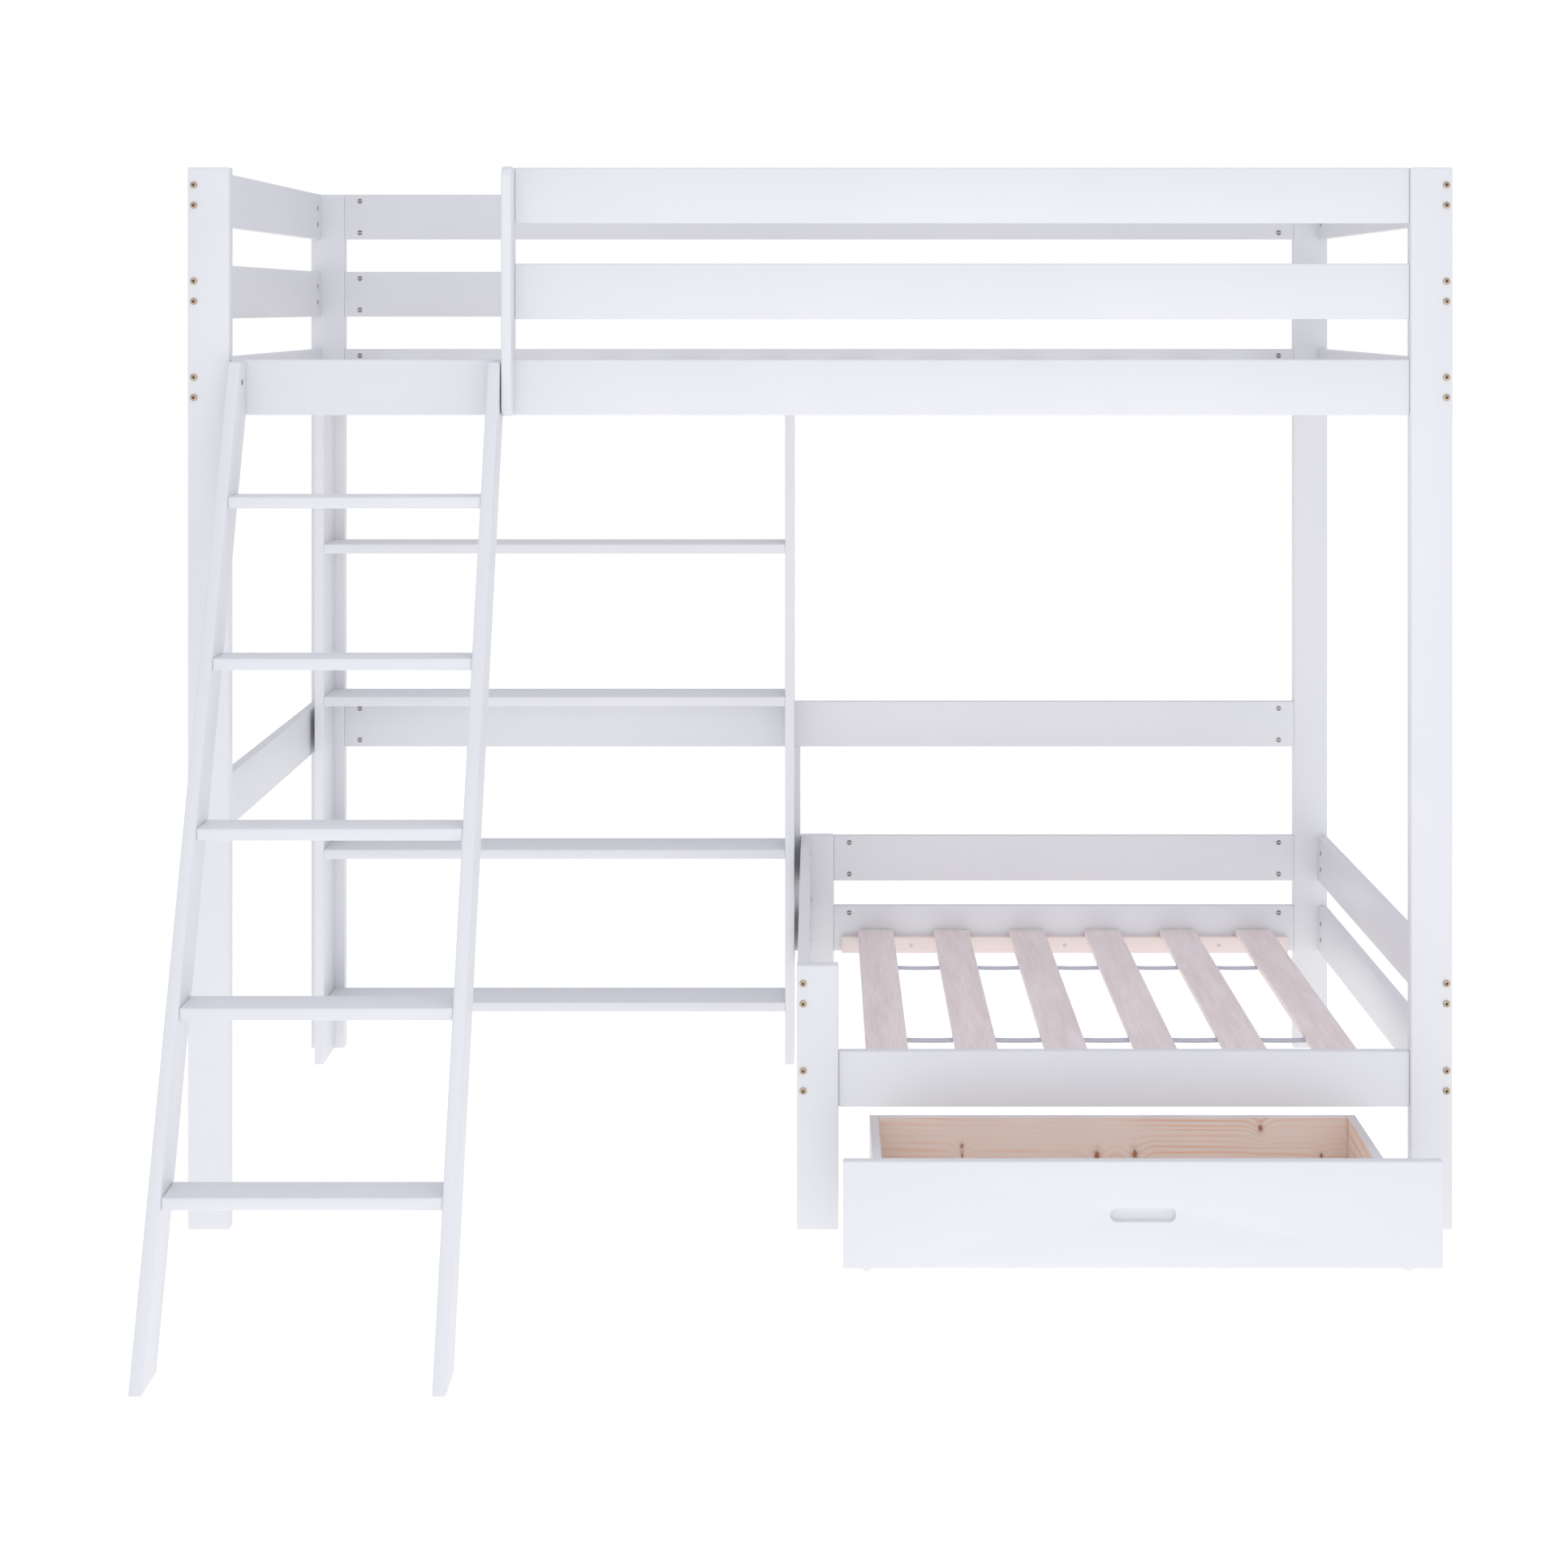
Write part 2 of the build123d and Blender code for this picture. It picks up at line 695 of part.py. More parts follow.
screw_groups = [
    (tread_screws, stringer_thick + 2 * screw_bite),
    (shelf_screws, panel_thick + 2 * screw_bite),
    (ledger_screws, ledger_thick + screw_bite),
    (stile_screws, rail_thick + 2 * screw_bite),
    (rail_screws, rail_thick + 2 * screw_bite),
    (post_screws, post_thick + 2 * screw_bite),
    (leg_screws, stile_width + 2 * screw_bite),
]
with BuildPart() as wood_screws:
    for planes, length in screw_groups:
        with BuildSketch(*planes):
            RegularPolygon(screw_radius, 6)
        extrude(amount=-length)
keep("wood_screws", wood_screws)

drawer_groups = [
    (corner_screws, box_wall + 2 * screw_bite),
    (bracket_screws, bracket_thick + box_wall * 3 / 4),
]
with BuildPart() as drawer_screws:
    for planes, length in drawer_groups:
        with BuildSketch(*planes):
            RegularPolygon(screw_radius, 6)
        extrude(amount=-length)
keep("drawer_screws", drawer_screws)
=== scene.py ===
"""Looks for a white loft bed with a slatted sofa frame, shelves, a ladder and a drawer.

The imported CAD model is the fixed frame. Each board is modelled again here with its
eased edges, and dressed with bolts, barrel nuts, screws, tapes and staples.
"""

from __future__ import annotations

import json
import logging
import math
from collections.abc import Callable, Iterable, Sequence
from dataclasses import dataclass, field
from enum import Enum
from typing import Any

import bpy
from mathutils import Matrix, Vector

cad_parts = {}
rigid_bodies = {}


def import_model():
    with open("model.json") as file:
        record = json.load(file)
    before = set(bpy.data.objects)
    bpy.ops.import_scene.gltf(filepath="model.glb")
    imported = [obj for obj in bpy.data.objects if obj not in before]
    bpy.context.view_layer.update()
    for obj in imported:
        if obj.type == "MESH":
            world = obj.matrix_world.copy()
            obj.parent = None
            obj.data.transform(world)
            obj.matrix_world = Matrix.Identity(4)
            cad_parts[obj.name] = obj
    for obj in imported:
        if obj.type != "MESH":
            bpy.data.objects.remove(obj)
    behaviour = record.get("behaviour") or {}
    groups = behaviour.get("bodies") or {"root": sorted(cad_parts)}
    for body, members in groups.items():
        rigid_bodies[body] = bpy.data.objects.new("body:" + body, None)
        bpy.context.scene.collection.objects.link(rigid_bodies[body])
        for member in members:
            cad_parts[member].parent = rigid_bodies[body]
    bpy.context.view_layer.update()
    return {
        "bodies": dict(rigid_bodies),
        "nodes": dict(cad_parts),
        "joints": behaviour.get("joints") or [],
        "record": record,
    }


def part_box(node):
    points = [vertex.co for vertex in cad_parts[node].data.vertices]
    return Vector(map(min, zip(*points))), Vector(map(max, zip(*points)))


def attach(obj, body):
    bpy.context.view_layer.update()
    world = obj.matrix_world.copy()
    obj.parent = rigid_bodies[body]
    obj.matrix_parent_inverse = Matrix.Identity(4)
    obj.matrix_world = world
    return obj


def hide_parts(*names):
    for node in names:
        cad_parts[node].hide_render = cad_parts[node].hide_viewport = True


log = logging.getLogger("loft_bed")
MM = 0.001
Colour = tuple[float, float, float]
Box = tuple[Vector, Vector]


class Grain(Enum):
    """The row axis that a board's grain runs along."""

    X = 0
    Y = 1
    Z = 2


# Shader building


class Signal:
    """A shader socket that takes part in arithmetic, adding Math nodes as it goes."""

    def __init__(self, recipe: "Recipe", socket: Any) -> None:
        """Wrap one output socket of a recipe's node tree."""
        self.recipe = recipe
        self.socket = socket

    def _math(self, operation: str, first: Any, second: Any = None) -> "Signal":
        """Add one Math node.

        Args:
            operation: The Math node's operation.
            first: The first operand, a number or a signal.
            second: The second operand, if the operation takes one.

        Returns:
            The node's result.
        """
        inputs = {0: first} if second is None else {0: first, 1: second}
        return self.recipe.node("ShaderNodeMath", {"operation": operation}, inputs)

    def __add__(self, other: Any) -> "Signal":
        """Signal plus other."""
        return self._math("ADD", self, other)

    __radd__ = __add__

    def __sub__(self, other: Any) -> "Signal":
        """Signal minus other."""
        return self._math("SUBTRACT", self, other)

    def __rsub__(self, other: Any) -> "Signal":
        """Other minus signal."""
        return self._math("SUBTRACT", other, self)

    def __mul__(self, other: Any) -> "Signal":
        """Signal times other."""
        return self._math("MULTIPLY", self, other)

    __rmul__ = __mul__

    def __truediv__(self, other: Any) -> "Signal":
        """Signal divided by other."""
        return self._math("DIVIDE", self, other)

    def __rtruediv__(self, other: Any) -> "Signal":
        """Other divided by signal."""
        return self._math("DIVIDE", other, self)

    def __pow__(self, other: Any) -> "Signal":
        """Signal to a power."""
        return self._math("POWER", self, other)

    def sine(self) -> "Signal":
        """Sine of the signal, in radians."""
        return self._math("SINE", self)

    def exp(self) -> "Signal":
        """e to the power of the signal."""
        return self._math("EXPONENT", self)

    def absolute(self) -> "Signal":
        """The signal without its sign."""
        return self._math("ABSOLUTE", self)

    def ramp(self, low: float, high: float) -> "Signal":
        """Zero at low, one at high, smooth and clamped between them.

        Args:
            low: Where the result is nought.
            high: Where the result is one.

        Returns:
            The clamped signal.
        """
        settings = {"interpolation_type": "SMOOTHSTEP"}
        inputs = {0: self, 1: low, 2: high, 3: 0.0, 4: 1.0}
        return self.recipe.node("ShaderNodeMapRange", settings, inputs)


class Recipe:
    """One material under construction: a principled shader and what feeds it."""

    def __init__(self, name: str) -> None:
        """Start an empty material.

        Args:
            name: The material's name.
        """
        self.material = bpy.data.materials.new(name)
        self.material.use_nodes = True
        self.tree = self.material.node_tree
        self.tree.nodes.clear()
        self.surface = self.tree.nodes.new("ShaderNodeBsdfPrincipled")
        output = self.tree.nodes.new("ShaderNodeOutputMaterial")
        self.tree.links.new(self.surface.outputs[0], output.inputs[0])

    def feed(self, socket: Any, value: Any) -> None:
        """Put a number, a colour or a signal on an input socket.

        Args:
            socket: The input socket.
            value: A number, a colour or a signal.
        """
        if isinstance(value, Signal):
            self.tree.links.new(value.socket, socket)
        elif isinstance(value, tuple) and len(value) == 3 and socket.type == "RGBA":
            socket.default_value = (*value, 1.0)
        else:
            socket.default_value = value

    def node(
        self,
        kind: str,
        settings: dict[str, Any] | None = None,
        inputs: dict[Any, Any] | None = None,
        output: int | str = 0,
    ) -> Signal:
        """Add a node, with its settings first and its sockets after them.

        Args:
            kind: The node's type.
            settings: Attributes of the node.
            inputs: Socket names or numbers, and the value or signal of each.
            output: The output socket to return.

        Returns:
            The chosen output as a signal.
        """
        made = self.tree.nodes.new(kind)
        for key, value in (settings or {}).items():
            setattr(made, key, value)
        for key, value in (inputs or {}).items():
            self.feed(made.inputs[key], value)
        return Signal(self, made.outputs[output])

    def place(self, scale: Sequence[float], offset: Sequence[float] = (0, 0, 0)) -> Signal:
        """Object coordinates, stretched and shifted.

        Args:
            scale: How far each axis is stretched.
            offset: How far the pattern is shifted.

        Returns:
            The coordinates.
        """
        coordinate = self.node("ShaderNodeTexCoord", output="Object")
        inputs = {"Vector": coordinate, "Scale": tuple(scale), "Location": tuple(offset)}
        return self.node("ShaderNodeMapping", None, inputs)

    def noise(self, place: Signal, scale: float, detail: float, rough: float = 0.5) -> Signal:
        """Fractal noise between 0 and 1."""
        inputs = {"Vector": place, "Scale": scale, "Detail": detail, "Roughness": rough}
        return self.node("ShaderNodeTexNoise", None, inputs)

    def blend(self, factor: Any, first: Any, second: Any) -> Signal:
        """Mix two colours."""
        inputs = {0: factor, 6: first, 7: second}
        return self.node("ShaderNodeMix", {"data_type": "RGBA"}, inputs, 2)

    def bump(self, height: Signal, distance: float, strength: float = 1.0) -> Signal:
        """A normal from a height, whose full depth is distance in metres."""
        inputs = {"Height": height, "Distance": distance, "Strength": strength}
        return self.node("ShaderNodeBump", None, inputs)

    def finish(self, **sockets: Any) -> bpy.types.Material:
        """Feed the principled shader's sockets and return the material.

        Args:
            sockets: Socket names in lower case, and what feeds each.

        Returns:
            The finished material.
        """
        for name, value in sockets.items():
            self.feed(self.surface.inputs[name.replace("_", " ").title()], value)
        return self.material


def stretched(grain: Grain, across: float, along: float) -> list[float]:
    """Scales that draw a pattern out along the grain.

    Args:
        grain: The axis that the grain runs along.
        across: The scale across it.
        along: The scale along it.

    Returns:
        The three scales.
    """
    scale = [across, across, across]
    scale[grain.value] = along
    return scale


@dataclass(frozen=True)
class WhitePaint:
    """Satin white paint over pine: a little roller stipple and a ghost of the grain."""

    grain: Grain
    colour: Colour = (0.83, 0.835, 0.845)
    shade: Colour = (0.80, 0.808, 0.828)
    roughness: float = 0.42

    def build(self) -> bpy.types.Material:
        """Make the material.

        Returns:
            The material.
        """
        recipe = Recipe(f"white_paint_{self.grain.name.lower()}")
        stipple = recipe.noise(recipe.place((1, 1, 1)), 1100.0, 2.0)
        ghost = recipe.noise(recipe.place(stretched(self.grain, 1, 0.03)), 180.0, 3.0)
        drift = recipe.noise(recipe.place((1, 1, 1)), 4.0, 3.0).ramp(0.35, 0.7)
        height = stipple * 0.35 + ghost * 0.65
        rough = self.roughness + (stipple - 0.5) * 0.08 + (drift - 0.5) * 0.05
        return recipe.finish(
            base_color=recipe.blend(drift * 0.5 + ghost * 0.3, self.colour, self.shade),
            roughness=rough,
            normal=recipe.bump(height, 0.00012, 0.5),
        )


@dataclass(frozen=True)
class BarePine:
    """Sanded bare pine with late-wood lines, fine fibres and brown knots."""

    name: str
    grain: Grain
    light: Colour = (0.98, 0.87, 0.79)
    dark: Colour = (0.94, 0.61, 0.42)
    knot: Colour = (0.42, 0.20, 0.11)
    rings: float = 110.0
    contrast: float = 0.95
    streak: float = 1.7
    knots: tuple[tuple[float, float, float, float], ...] = ()

    def build(self) -> bpy.types.Material:
        """Make the material.

        Returns:
            The material.
        """
        recipe = Recipe(self.name)
        place = recipe.place(stretched(self.grain, 1.0, 0.09))
        sway = recipe.noise(place, 9.0, 3.0)
        spot, bend = self._knots(recipe)
        axes = recipe.node("ShaderNodeSeparateXYZ", None, {0: place}, 0)
        cross = self._cross(axes)
        phase = (cross + sway * 0.075 + bend * 0.012) * (self.rings * math.tau)
        late = (phase.sine() * 0.5 + 0.5).ramp(0.45, 1.0)
        fibre = recipe.noise(recipe.place(stretched(self.grain, 1.0, 0.02)), 520.0, 3.0)
        patch = recipe.noise(recipe.place(stretched(self.grain, 1.0, 0.2)), 14.0, 2.0)
        tone = late * patch.ramp(0.3, 0.75) * self.contrast + (fibre - 0.5) * 0.35
        wood = recipe.blend(tone.ramp(-0.1, 1.0), self.light, self.dark)
        return recipe.finish(
            base_color=recipe.blend(spot, wood, self.knot),
            roughness=0.62 + (fibre - 0.5) * 0.2,
            normal=recipe.bump(fibre * 0.6 + late * 0.4, 0.00015, 0.6),
        )

    def _cross(self, axes: Signal) -> Signal:
        """Distance across the grain, on the two axes that it doesn't run along.

        Args:
            axes: The separated coordinates.

        Returns:
            The distance.
        """
        outputs = axes.socket.node.outputs
        numbers = [n for n in range(3) if n != self.grain.value]
        first, second = (Signal(axes.recipe, outputs[n]) for n in numbers)
        return first * 0.55 + second

    def _knots(self, recipe: Recipe) -> tuple[Signal, Signal]:
        """Masks of the knots and of how far they push the grain aside.

        Args:
            recipe: The material being made.

        Returns:
            The knot mask, and the sum of bumps that bends the grain.
        """
        squat = (1.0, 1.0, 1.0 / self.streak)
        coordinate = recipe.place(squat)
        ragged = recipe.noise(recipe.place((1, 1, 1)), 160.0, 3.0)
        mask: Signal | None = None
        bend: Signal | None = None
        for x, y, z, radius in self.knots:
            inputs = {0: coordinate, 1: (x, y, z / self.streak)}
            settings = {"operation": "DISTANCE"}
            away = recipe.node("ShaderNodeVectorMath", settings, inputs, 1)
            away = away / radius + (ragged - 0.5) * 0.9
            core = 1.0 - away.ramp(0.1, 0.95)
            halo = (1.0 - away.ramp(0.6, 2.4)) * 0.3
            near = (away * away * -0.12).exp()
            both = core * 0.7 + halo
            mask = both if mask is None else mask + both
            bend = near if bend is None else bend + near
        if mask is None or bend is None:
            cells = {"Vector": recipe.place(stretched(self.grain, 1, 0.5)), "Scale": 7.0}
            away = recipe.node("ShaderNodeTexVoronoi", None, cells, 0)
            ragged_away = away + (ragged - 0.5) * 0.05
            mask = (1.0 - ragged_away.ramp(0.035, 0.085)) * 0.7
            bend = (away * away * -40.0).exp() * 0.6
        return mask.ramp(0.0, 1.0), bend


@dataclass(frozen=True)
class WashedPine:
    """Planed slats under a thin pinkish white wash, with a fine open grain."""

    grain: Grain = Grain.Y
    light: Colour = (0.94, 0.85, 0.83)
    dark: Colour = (0.81, 0.68, 0.65)

    def build(self) -> bpy.types.Material:
        """Make the material.

        Returns:
            The material.
        """
        recipe = Recipe("washed_pine")
        fine = recipe.noise(recipe.place(stretched(self.grain, 1, 0.03)), 420.0, 4.0, 0.6)
        broad = recipe.noise(recipe.place(stretched(self.grain, 1, 0.12)), 40.0, 3.0)
        tone = fine.ramp(0.35, 0.75) * 0.55 + broad.ramp(0.35, 0.7) * 0.45
        return recipe.finish(
            base_color=recipe.blend(tone, self.light, self.dark),
            roughness=0.6 + (fine - 0.5) * 0.2,
            normal=recipe.bump(fine, 0.00018, 0.6),
        )


@dataclass(frozen=True)
class PlatedSteel:
    """Zinc plated steel, yellow passivated or plain, with fine mottling."""

    name: str
    light: Colour
    dark: Colour
    roughness: float = 0.34

    def build(self) -> bpy.types.Material:
        """Make the material.

        Returns:
            The material.
        """
        recipe = Recipe(self.name)
        mottle = recipe.noise(recipe.place((1, 1, 1)), 700.0, 3.0)
        return recipe.finish(
            base_color=recipe.blend(mottle.ramp(0.3, 0.7), self.light, self.dark),
            metallic=0.9,
            roughness=self.roughness + (mottle - 0.5) * 0.2,
            normal=recipe.bump(mottle, 0.00005, 0.4),
        )


@dataclass(frozen=True)
class MouldedPlastic:
    """Dark moulded plastic with a fine spark-eroded grain."""

    name: str = "wheel_plastic"
    colour: Colour = (0.045, 0.045, 0.05)
    worn: Colour = (0.09, 0.09, 0.095)

    def build(self) -> bpy.types.Material:
        """Make the material.

        Returns:
            The material.
        """
        recipe = Recipe(self.name)
        grain = recipe.noise(recipe.place((1, 1, 1)), 1500.0, 2.0)
        scuff = recipe.noise(recipe.place((1, 1, 1)), 90.0, 4.0).ramp(0.5, 0.8)
        return recipe.finish(
            base_color=recipe.blend(scuff * 0.6, self.colour, self.worn),
            roughness=0.5 + scuff * 0.2,
            normal=recipe.bump(grain, 0.00006, 0.5),
        )


@dataclass(frozen=True)
class WovenTape:
    """Flat polyester tape in a plain weave, running along X."""

    light: Colour = (0.74, 0.76, 0.82)
    dark: Colour = (0.50, 0.53, 0.61)
    threads: float = 900.0

    def build(self) -> bpy.types.Material:
        """Make the material.

        Returns:
            The material.
        """
        recipe = Recipe("woven_tape")
        place = recipe.place((self.threads * math.tau,) * 3)
        axes = recipe.node("ShaderNodeSeparateXYZ", None, {0: place}, 0)
        outputs = axes.socket.node.outputs
        warp = Signal(recipe, outputs[1]).sine()
        weft = Signal(recipe, outputs[0]).sine()
        weave = warp * weft * 0.5 + 0.5
        return recipe.finish(
            base_color=recipe.blend(weave, self.dark, self.light),
            roughness=0.85,
            normal=recipe.bump(weave, 0.0002, 0.7),
        )


# Modelling helpers


def only(piece: bpy.types.Object) -> None:
    """Select one object alone and make it active.

    Args:
        piece: The object.
    """
    bpy.ops.object.select_all(action="DESELECT")
    piece.select_set(True)
    bpy.context.view_layer.objects.active = piece


def settle(piece: bpy.types.Object) -> bpy.types.Object:
    """Put the piece's place, turn and size into its mesh.

    Args:
        piece: The object.

    Returns:
        The same object, at the origin.
    """
    only(piece)
    bpy.ops.object.transform_apply(location=True, rotation=True, scale=True)
    return piece


def added(name: str) -> bpy.types.Object:
    """Name the primitive just added and put its place into its mesh.

    Args:
        name: The piece's name.

    Returns:
        The new object.
    """
    piece = bpy.context.object
    piece.name = name
    piece.data.name = name
    return settle(piece)


def block(name: str, low: Sequence[float], high: Sequence[float]) -> bpy.types.Object:
    """A box between two corners, ready to be shaped.

    Args:
        name: The piece's name.
        low: Its lowest corner.
        high: Its highest corner.

    Returns:
        The new object, with its place in its mesh.
    """
    low, high = Vector(low), Vector(high)
    bpy.ops.mesh.primitive_cube_add(size=1.0, location=(low + high) / 2)
    bpy.context.object.scale = high - low
    return added(name)


def disc(name: str, radius: float, depth: float, sides: int = 24) -> bpy.types.Object:
    """An upright disc that stands on the origin, ready to be shaped.

    Args:
        name: The piece's name.
        radius: Its radius.
        depth: Its height.
        sides: How many sides stand for the round.

    Returns:
        The new object.
    """
    middle = (0, 0, depth / 2)
    bpy.ops.mesh.primitive_cylinder_add(
        vertices=sides, radius=radius, depth=depth, location=middle
    )
    return added(name)


def edit(piece: bpy.types.Object, kind: str = "EDGE", choose: str = "DESELECT") -> None:
    """Go into edit mode on one piece, with nothing or everything selected.

    Args:
        piece: The object.
        kind: What is selected: VERT, EDGE or FACE.
        choose: SELECT for everything, DESELECT for nothing.
    """
    only(piece)
    bpy.ops.object.mode_set(mode="EDIT")
    bpy.ops.mesh.select_mode(type=kind)
    bpy.ops.mesh.select_all(action=choose)


def leave() -> None:
    """Go back to object mode."""
    bpy.ops.object.mode_set(mode="OBJECT")


def pick_faces(piece: bpy.types.Object, test: Callable[[Vector, Vector], bool]) -> None:
    """Select the faces whose centre and normal pass a test, in edit mode.

    Args:
        piece: The mesh object.
        test: Takes a face's centre and normal, and says if the face is wanted.
    """
    edit(piece, "FACE")
    leave()
    for face in piece.data.polygons:
        face.select = test(face.center, face.normal)
    bpy.ops.object.mode_set(mode="EDIT")


def pick_edges(piece: bpy.types.Object, test: Callable[[Vector, Vector], bool]) -> None:
    """Select the edges whose two ends pass a test, in edit mode.

    Args:
        piece: The mesh object.
        test: Takes an edge's two end points, and says if the edge is wanted.
    """
    edit(piece, "EDGE")
    leave()
    points = piece.data.vertices
    for edge in piece.data.edges:
        first, second = edge.vertices
        edge.select = test(points[first].co, points[second].co)
    bpy.ops.object.mode_set(mode="EDIT")


def bevel(radius: float, segments: int) -> None:
    """Round what is selected in edit mode, and leave edit mode."""
    bpy.ops.mesh.bevel(offset=radius, segments=segments, profile=0.5, affect="EDGES")
    leave()


def smooth(piece: bpy.types.Object, degrees: float = 40.0) -> None:
    """Shade a piece smooth, apart from the edges sharper than an angle."""
    only(piece)
    bpy.ops.object.shade_smooth_by_angle(angle=math.radians(degrees))


def ease(piece: bpy.types.Object, radius: float, segments: int = 3) -> bpy.types.Object:
    """Round every sharp edge of a piece and shade it smooth between them.

    Args:
        piece: The board.
        radius: How round its edges are.
        segments: Flats to each edge.

    Returns:
        The same board.
    """
    edit(piece)
    bpy.ops.mesh.edges_select_sharp(sharpness=math.radians(35))
    bevel(radius, segments)
    smooth(piece)
    return piece


def cut(piece: bpy.types.Object, cutter: bpy.types.Object) -> bpy.types.Object:
    """Take a cutter's shape out of a piece, and remove the cutter.

    Args:
        piece: What is cut.
        cutter: The shape that goes.

    Returns:
        The cut piece.
    """
    only(piece)
    modifier = piece.modifiers.new("cut", "BOOLEAN")
    modifier.operation = "DIFFERENCE"
    modifier.solver = "EXACT"
    modifier.object = cutter
    bpy.ops.object.modifier_apply(modifier="cut")
    bpy.data.objects.remove(cutter, do_unlink=True)
    return piece


def trim(piece: bpy.types.Object, point: Sequence[float], outward: Sequence[float]) -> None:
    """Saw off what lies beyond a plane.

    Args:
        piece: The piece to be sawn.
        point: A point on the plane.
        outward: The plane's normal, towards the waste.
    """
    edit(piece, "VERT", "SELECT")
    bpy.ops.mesh.bisect(
        plane_co=point, plane_no=outward, use_fill=True, clear_outer=True
    )
    leave()


def join(pieces: Sequence[bpy.types.Object], name: str) -> bpy.types.Object:
    """Join pieces into one object.

    Args:
        pieces: What is joined.
        name: The joined object's name.

    Returns:
        The joined object.
    """
    bpy.ops.object.select_all(action="DESELECT")
    for piece in pieces:
        piece.select_set(True)
    bpy.context.view_layer.objects.active = pieces[0]
    if len(pieces) > 1:
        bpy.ops.object.join()
    joined = bpy.context.view_layer.objects.active
    joined.name = name
    joined.data.name = name
    return settle(joined)


def copies(
    pattern: bpy.types.Object, places: Iterable[Matrix], name: str
) -> bpy.types.Object:
    """Copy a pattern piece to each place, then join the copies and drop the pattern.

    Args:
        pattern: The piece, modelled at the origin.
        places: Where each copy goes.
        name: The joined object's name.

    Returns:
        One object that holds every copy.
    """
    made = []
    for place in places:
        twin = pattern.copy()
        twin.data = pattern.data.copy()
        twin.matrix_world = place
        bpy.context.collection.objects.link(twin)
        made.append(twin)
    bpy.data.objects.remove(pattern, do_unlink=True)
    bpy.context.view_layer.update()
    return join(made, name)


def facing(point: Sequence[float], outward: Sequence[float]) -> Matrix:
    """The place of a pattern that stands on a point and looks outward."""
    turn = Vector((0, 0, 1)).rotation_difference(Vector(outward)).to_matrix().to_4x4()
    return Matrix.Translation(Vector(point)) @ turn


def solids(node: str, frame: dict[str, Any]) -> list[list[Vector]]:
    """The separate solids of a CAD node, each as its corner points.

    Args:
        node: The CAD node's name.

    Returns:
        One list of points for each solid.
    """
    mesh = frame["nodes"][node].data
    parent: dict[tuple[int, ...], tuple[int, ...]] = {}

    def root(key: tuple[int, ...]) -> tuple[int, ...]:
        """The key that stands for a solid's group of points.

        Args:
            key: A point of the solid, rounded.

        Returns:
            The key of its group.
        """
        while parent.setdefault(key, key) != key:
            parent[key] = parent[parent[key]]
            key = parent[key]
        return key

    keys = [tuple(round(c * 1e5) for c in v.co) for v in mesh.vertices]
    for face in mesh.polygons:
        first = root(keys[face.vertices[0]])
        for number in face.vertices[1:]:
            parent[root(keys[number])] = first
    groups: dict[tuple[int, ...], list[Vector]] = {}
    for vertex, key in zip(mesh.vertices, keys):
        groups.setdefault(root(key), []).append(vertex.co.copy())
    return list(groups.values())


def bounds_of(points: Sequence[Vector]) -> Box:
    """Lowest and highest corner of some points.

    Args:
        points: The points.

    Returns:
        The two corners.
    """
    low = Vector([min(p[n] for p in points) for n in range(3)])
    high = Vector([max(p[n] for p in points) for n in range(3)])
    return low, high


def dress(
    piece: bpy.types.Object,
    body: str,
    material: bpy.types.Material,
    nodes: Sequence[str] = (),
) -> bpy.types.Object:
    """Give a piece its material, its body and the CAD nodes that it stands for.

    Args:
        piece: The finished piece.
        body: The CAD body that it moves with.
        material: The finish of the whole piece.
        nodes: The CAD nodes that it replaces.

    Returns:
        The same piece.
    """
    if not piece.data.materials:
        piece.data.materials.append(material)
    else:
        piece.data.materials[0] = material
    if nodes:
        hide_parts(*nodes)
    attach(piece, body)
    log.info("%s on %s, %d faces", piece.name, body, len(piece.data.polygons))
    return piece


# Sub-assemblies


@dataclass
class Finishes:
    """The shared materials of the bed, each made once; the drawer's bare pine is made with the
    drawer.
    """

    paint: dict[Grain, bpy.types.Material] = field(default_factory=dict)
    ledger: bpy.types.Material | None = None
    slat: bpy.types.Material | None = None
    tape: bpy.types.Material | None = None
    zinc: bpy.types.Material | None = None
    dull: bpy.types.Material | None = None
    # Dark steel laid on the faces inside sockets and slots: painted shade in the holes.
    recess: bpy.types.Material | None = None
    steel: bpy.types.Material | None = None
    plastic: bpy.types.Material | None = None

    def build(self) -> "Finishes":
        """Make them all.

        Returns:
            The finishes themselves.
        """
        self.paint = {grain: WhitePaint(grain).build() for grain in Grain}
        self.ledger = BarePine(
            "ledger_pine", Grain.X, (0.88, 0.78, 0.74), (0.82, 0.67, 0.59), contrast=0.45
        ).build()
        self.slat = WashedPine().build()
        self.tape = WovenTape().build()
        self.zinc = PlatedSteel(
            "yellow_zinc", (0.58, 0.47, 0.33), (0.40, 0.31, 0.22)
        ).build()
        self.dull = PlatedSteel("dull_zinc", (0.34, 0.31, 0.28), (0.22, 0.19, 0.17)).build()
        # The recess finish is painted shade: a dark steel colour for faces in holes, where shadow
        # falls.
        self.recess = PlatedSteel("recess", (0.20, 0.16, 0.12), (0.12, 0.10, 0.08), 0.5).build()
        self.steel = PlatedSteel("plain_zinc", (0.60, 0.62, 0.66), (0.45, 0.47, 0.51)).build()
        self.plastic = MouldedPlastic().build()
        return self


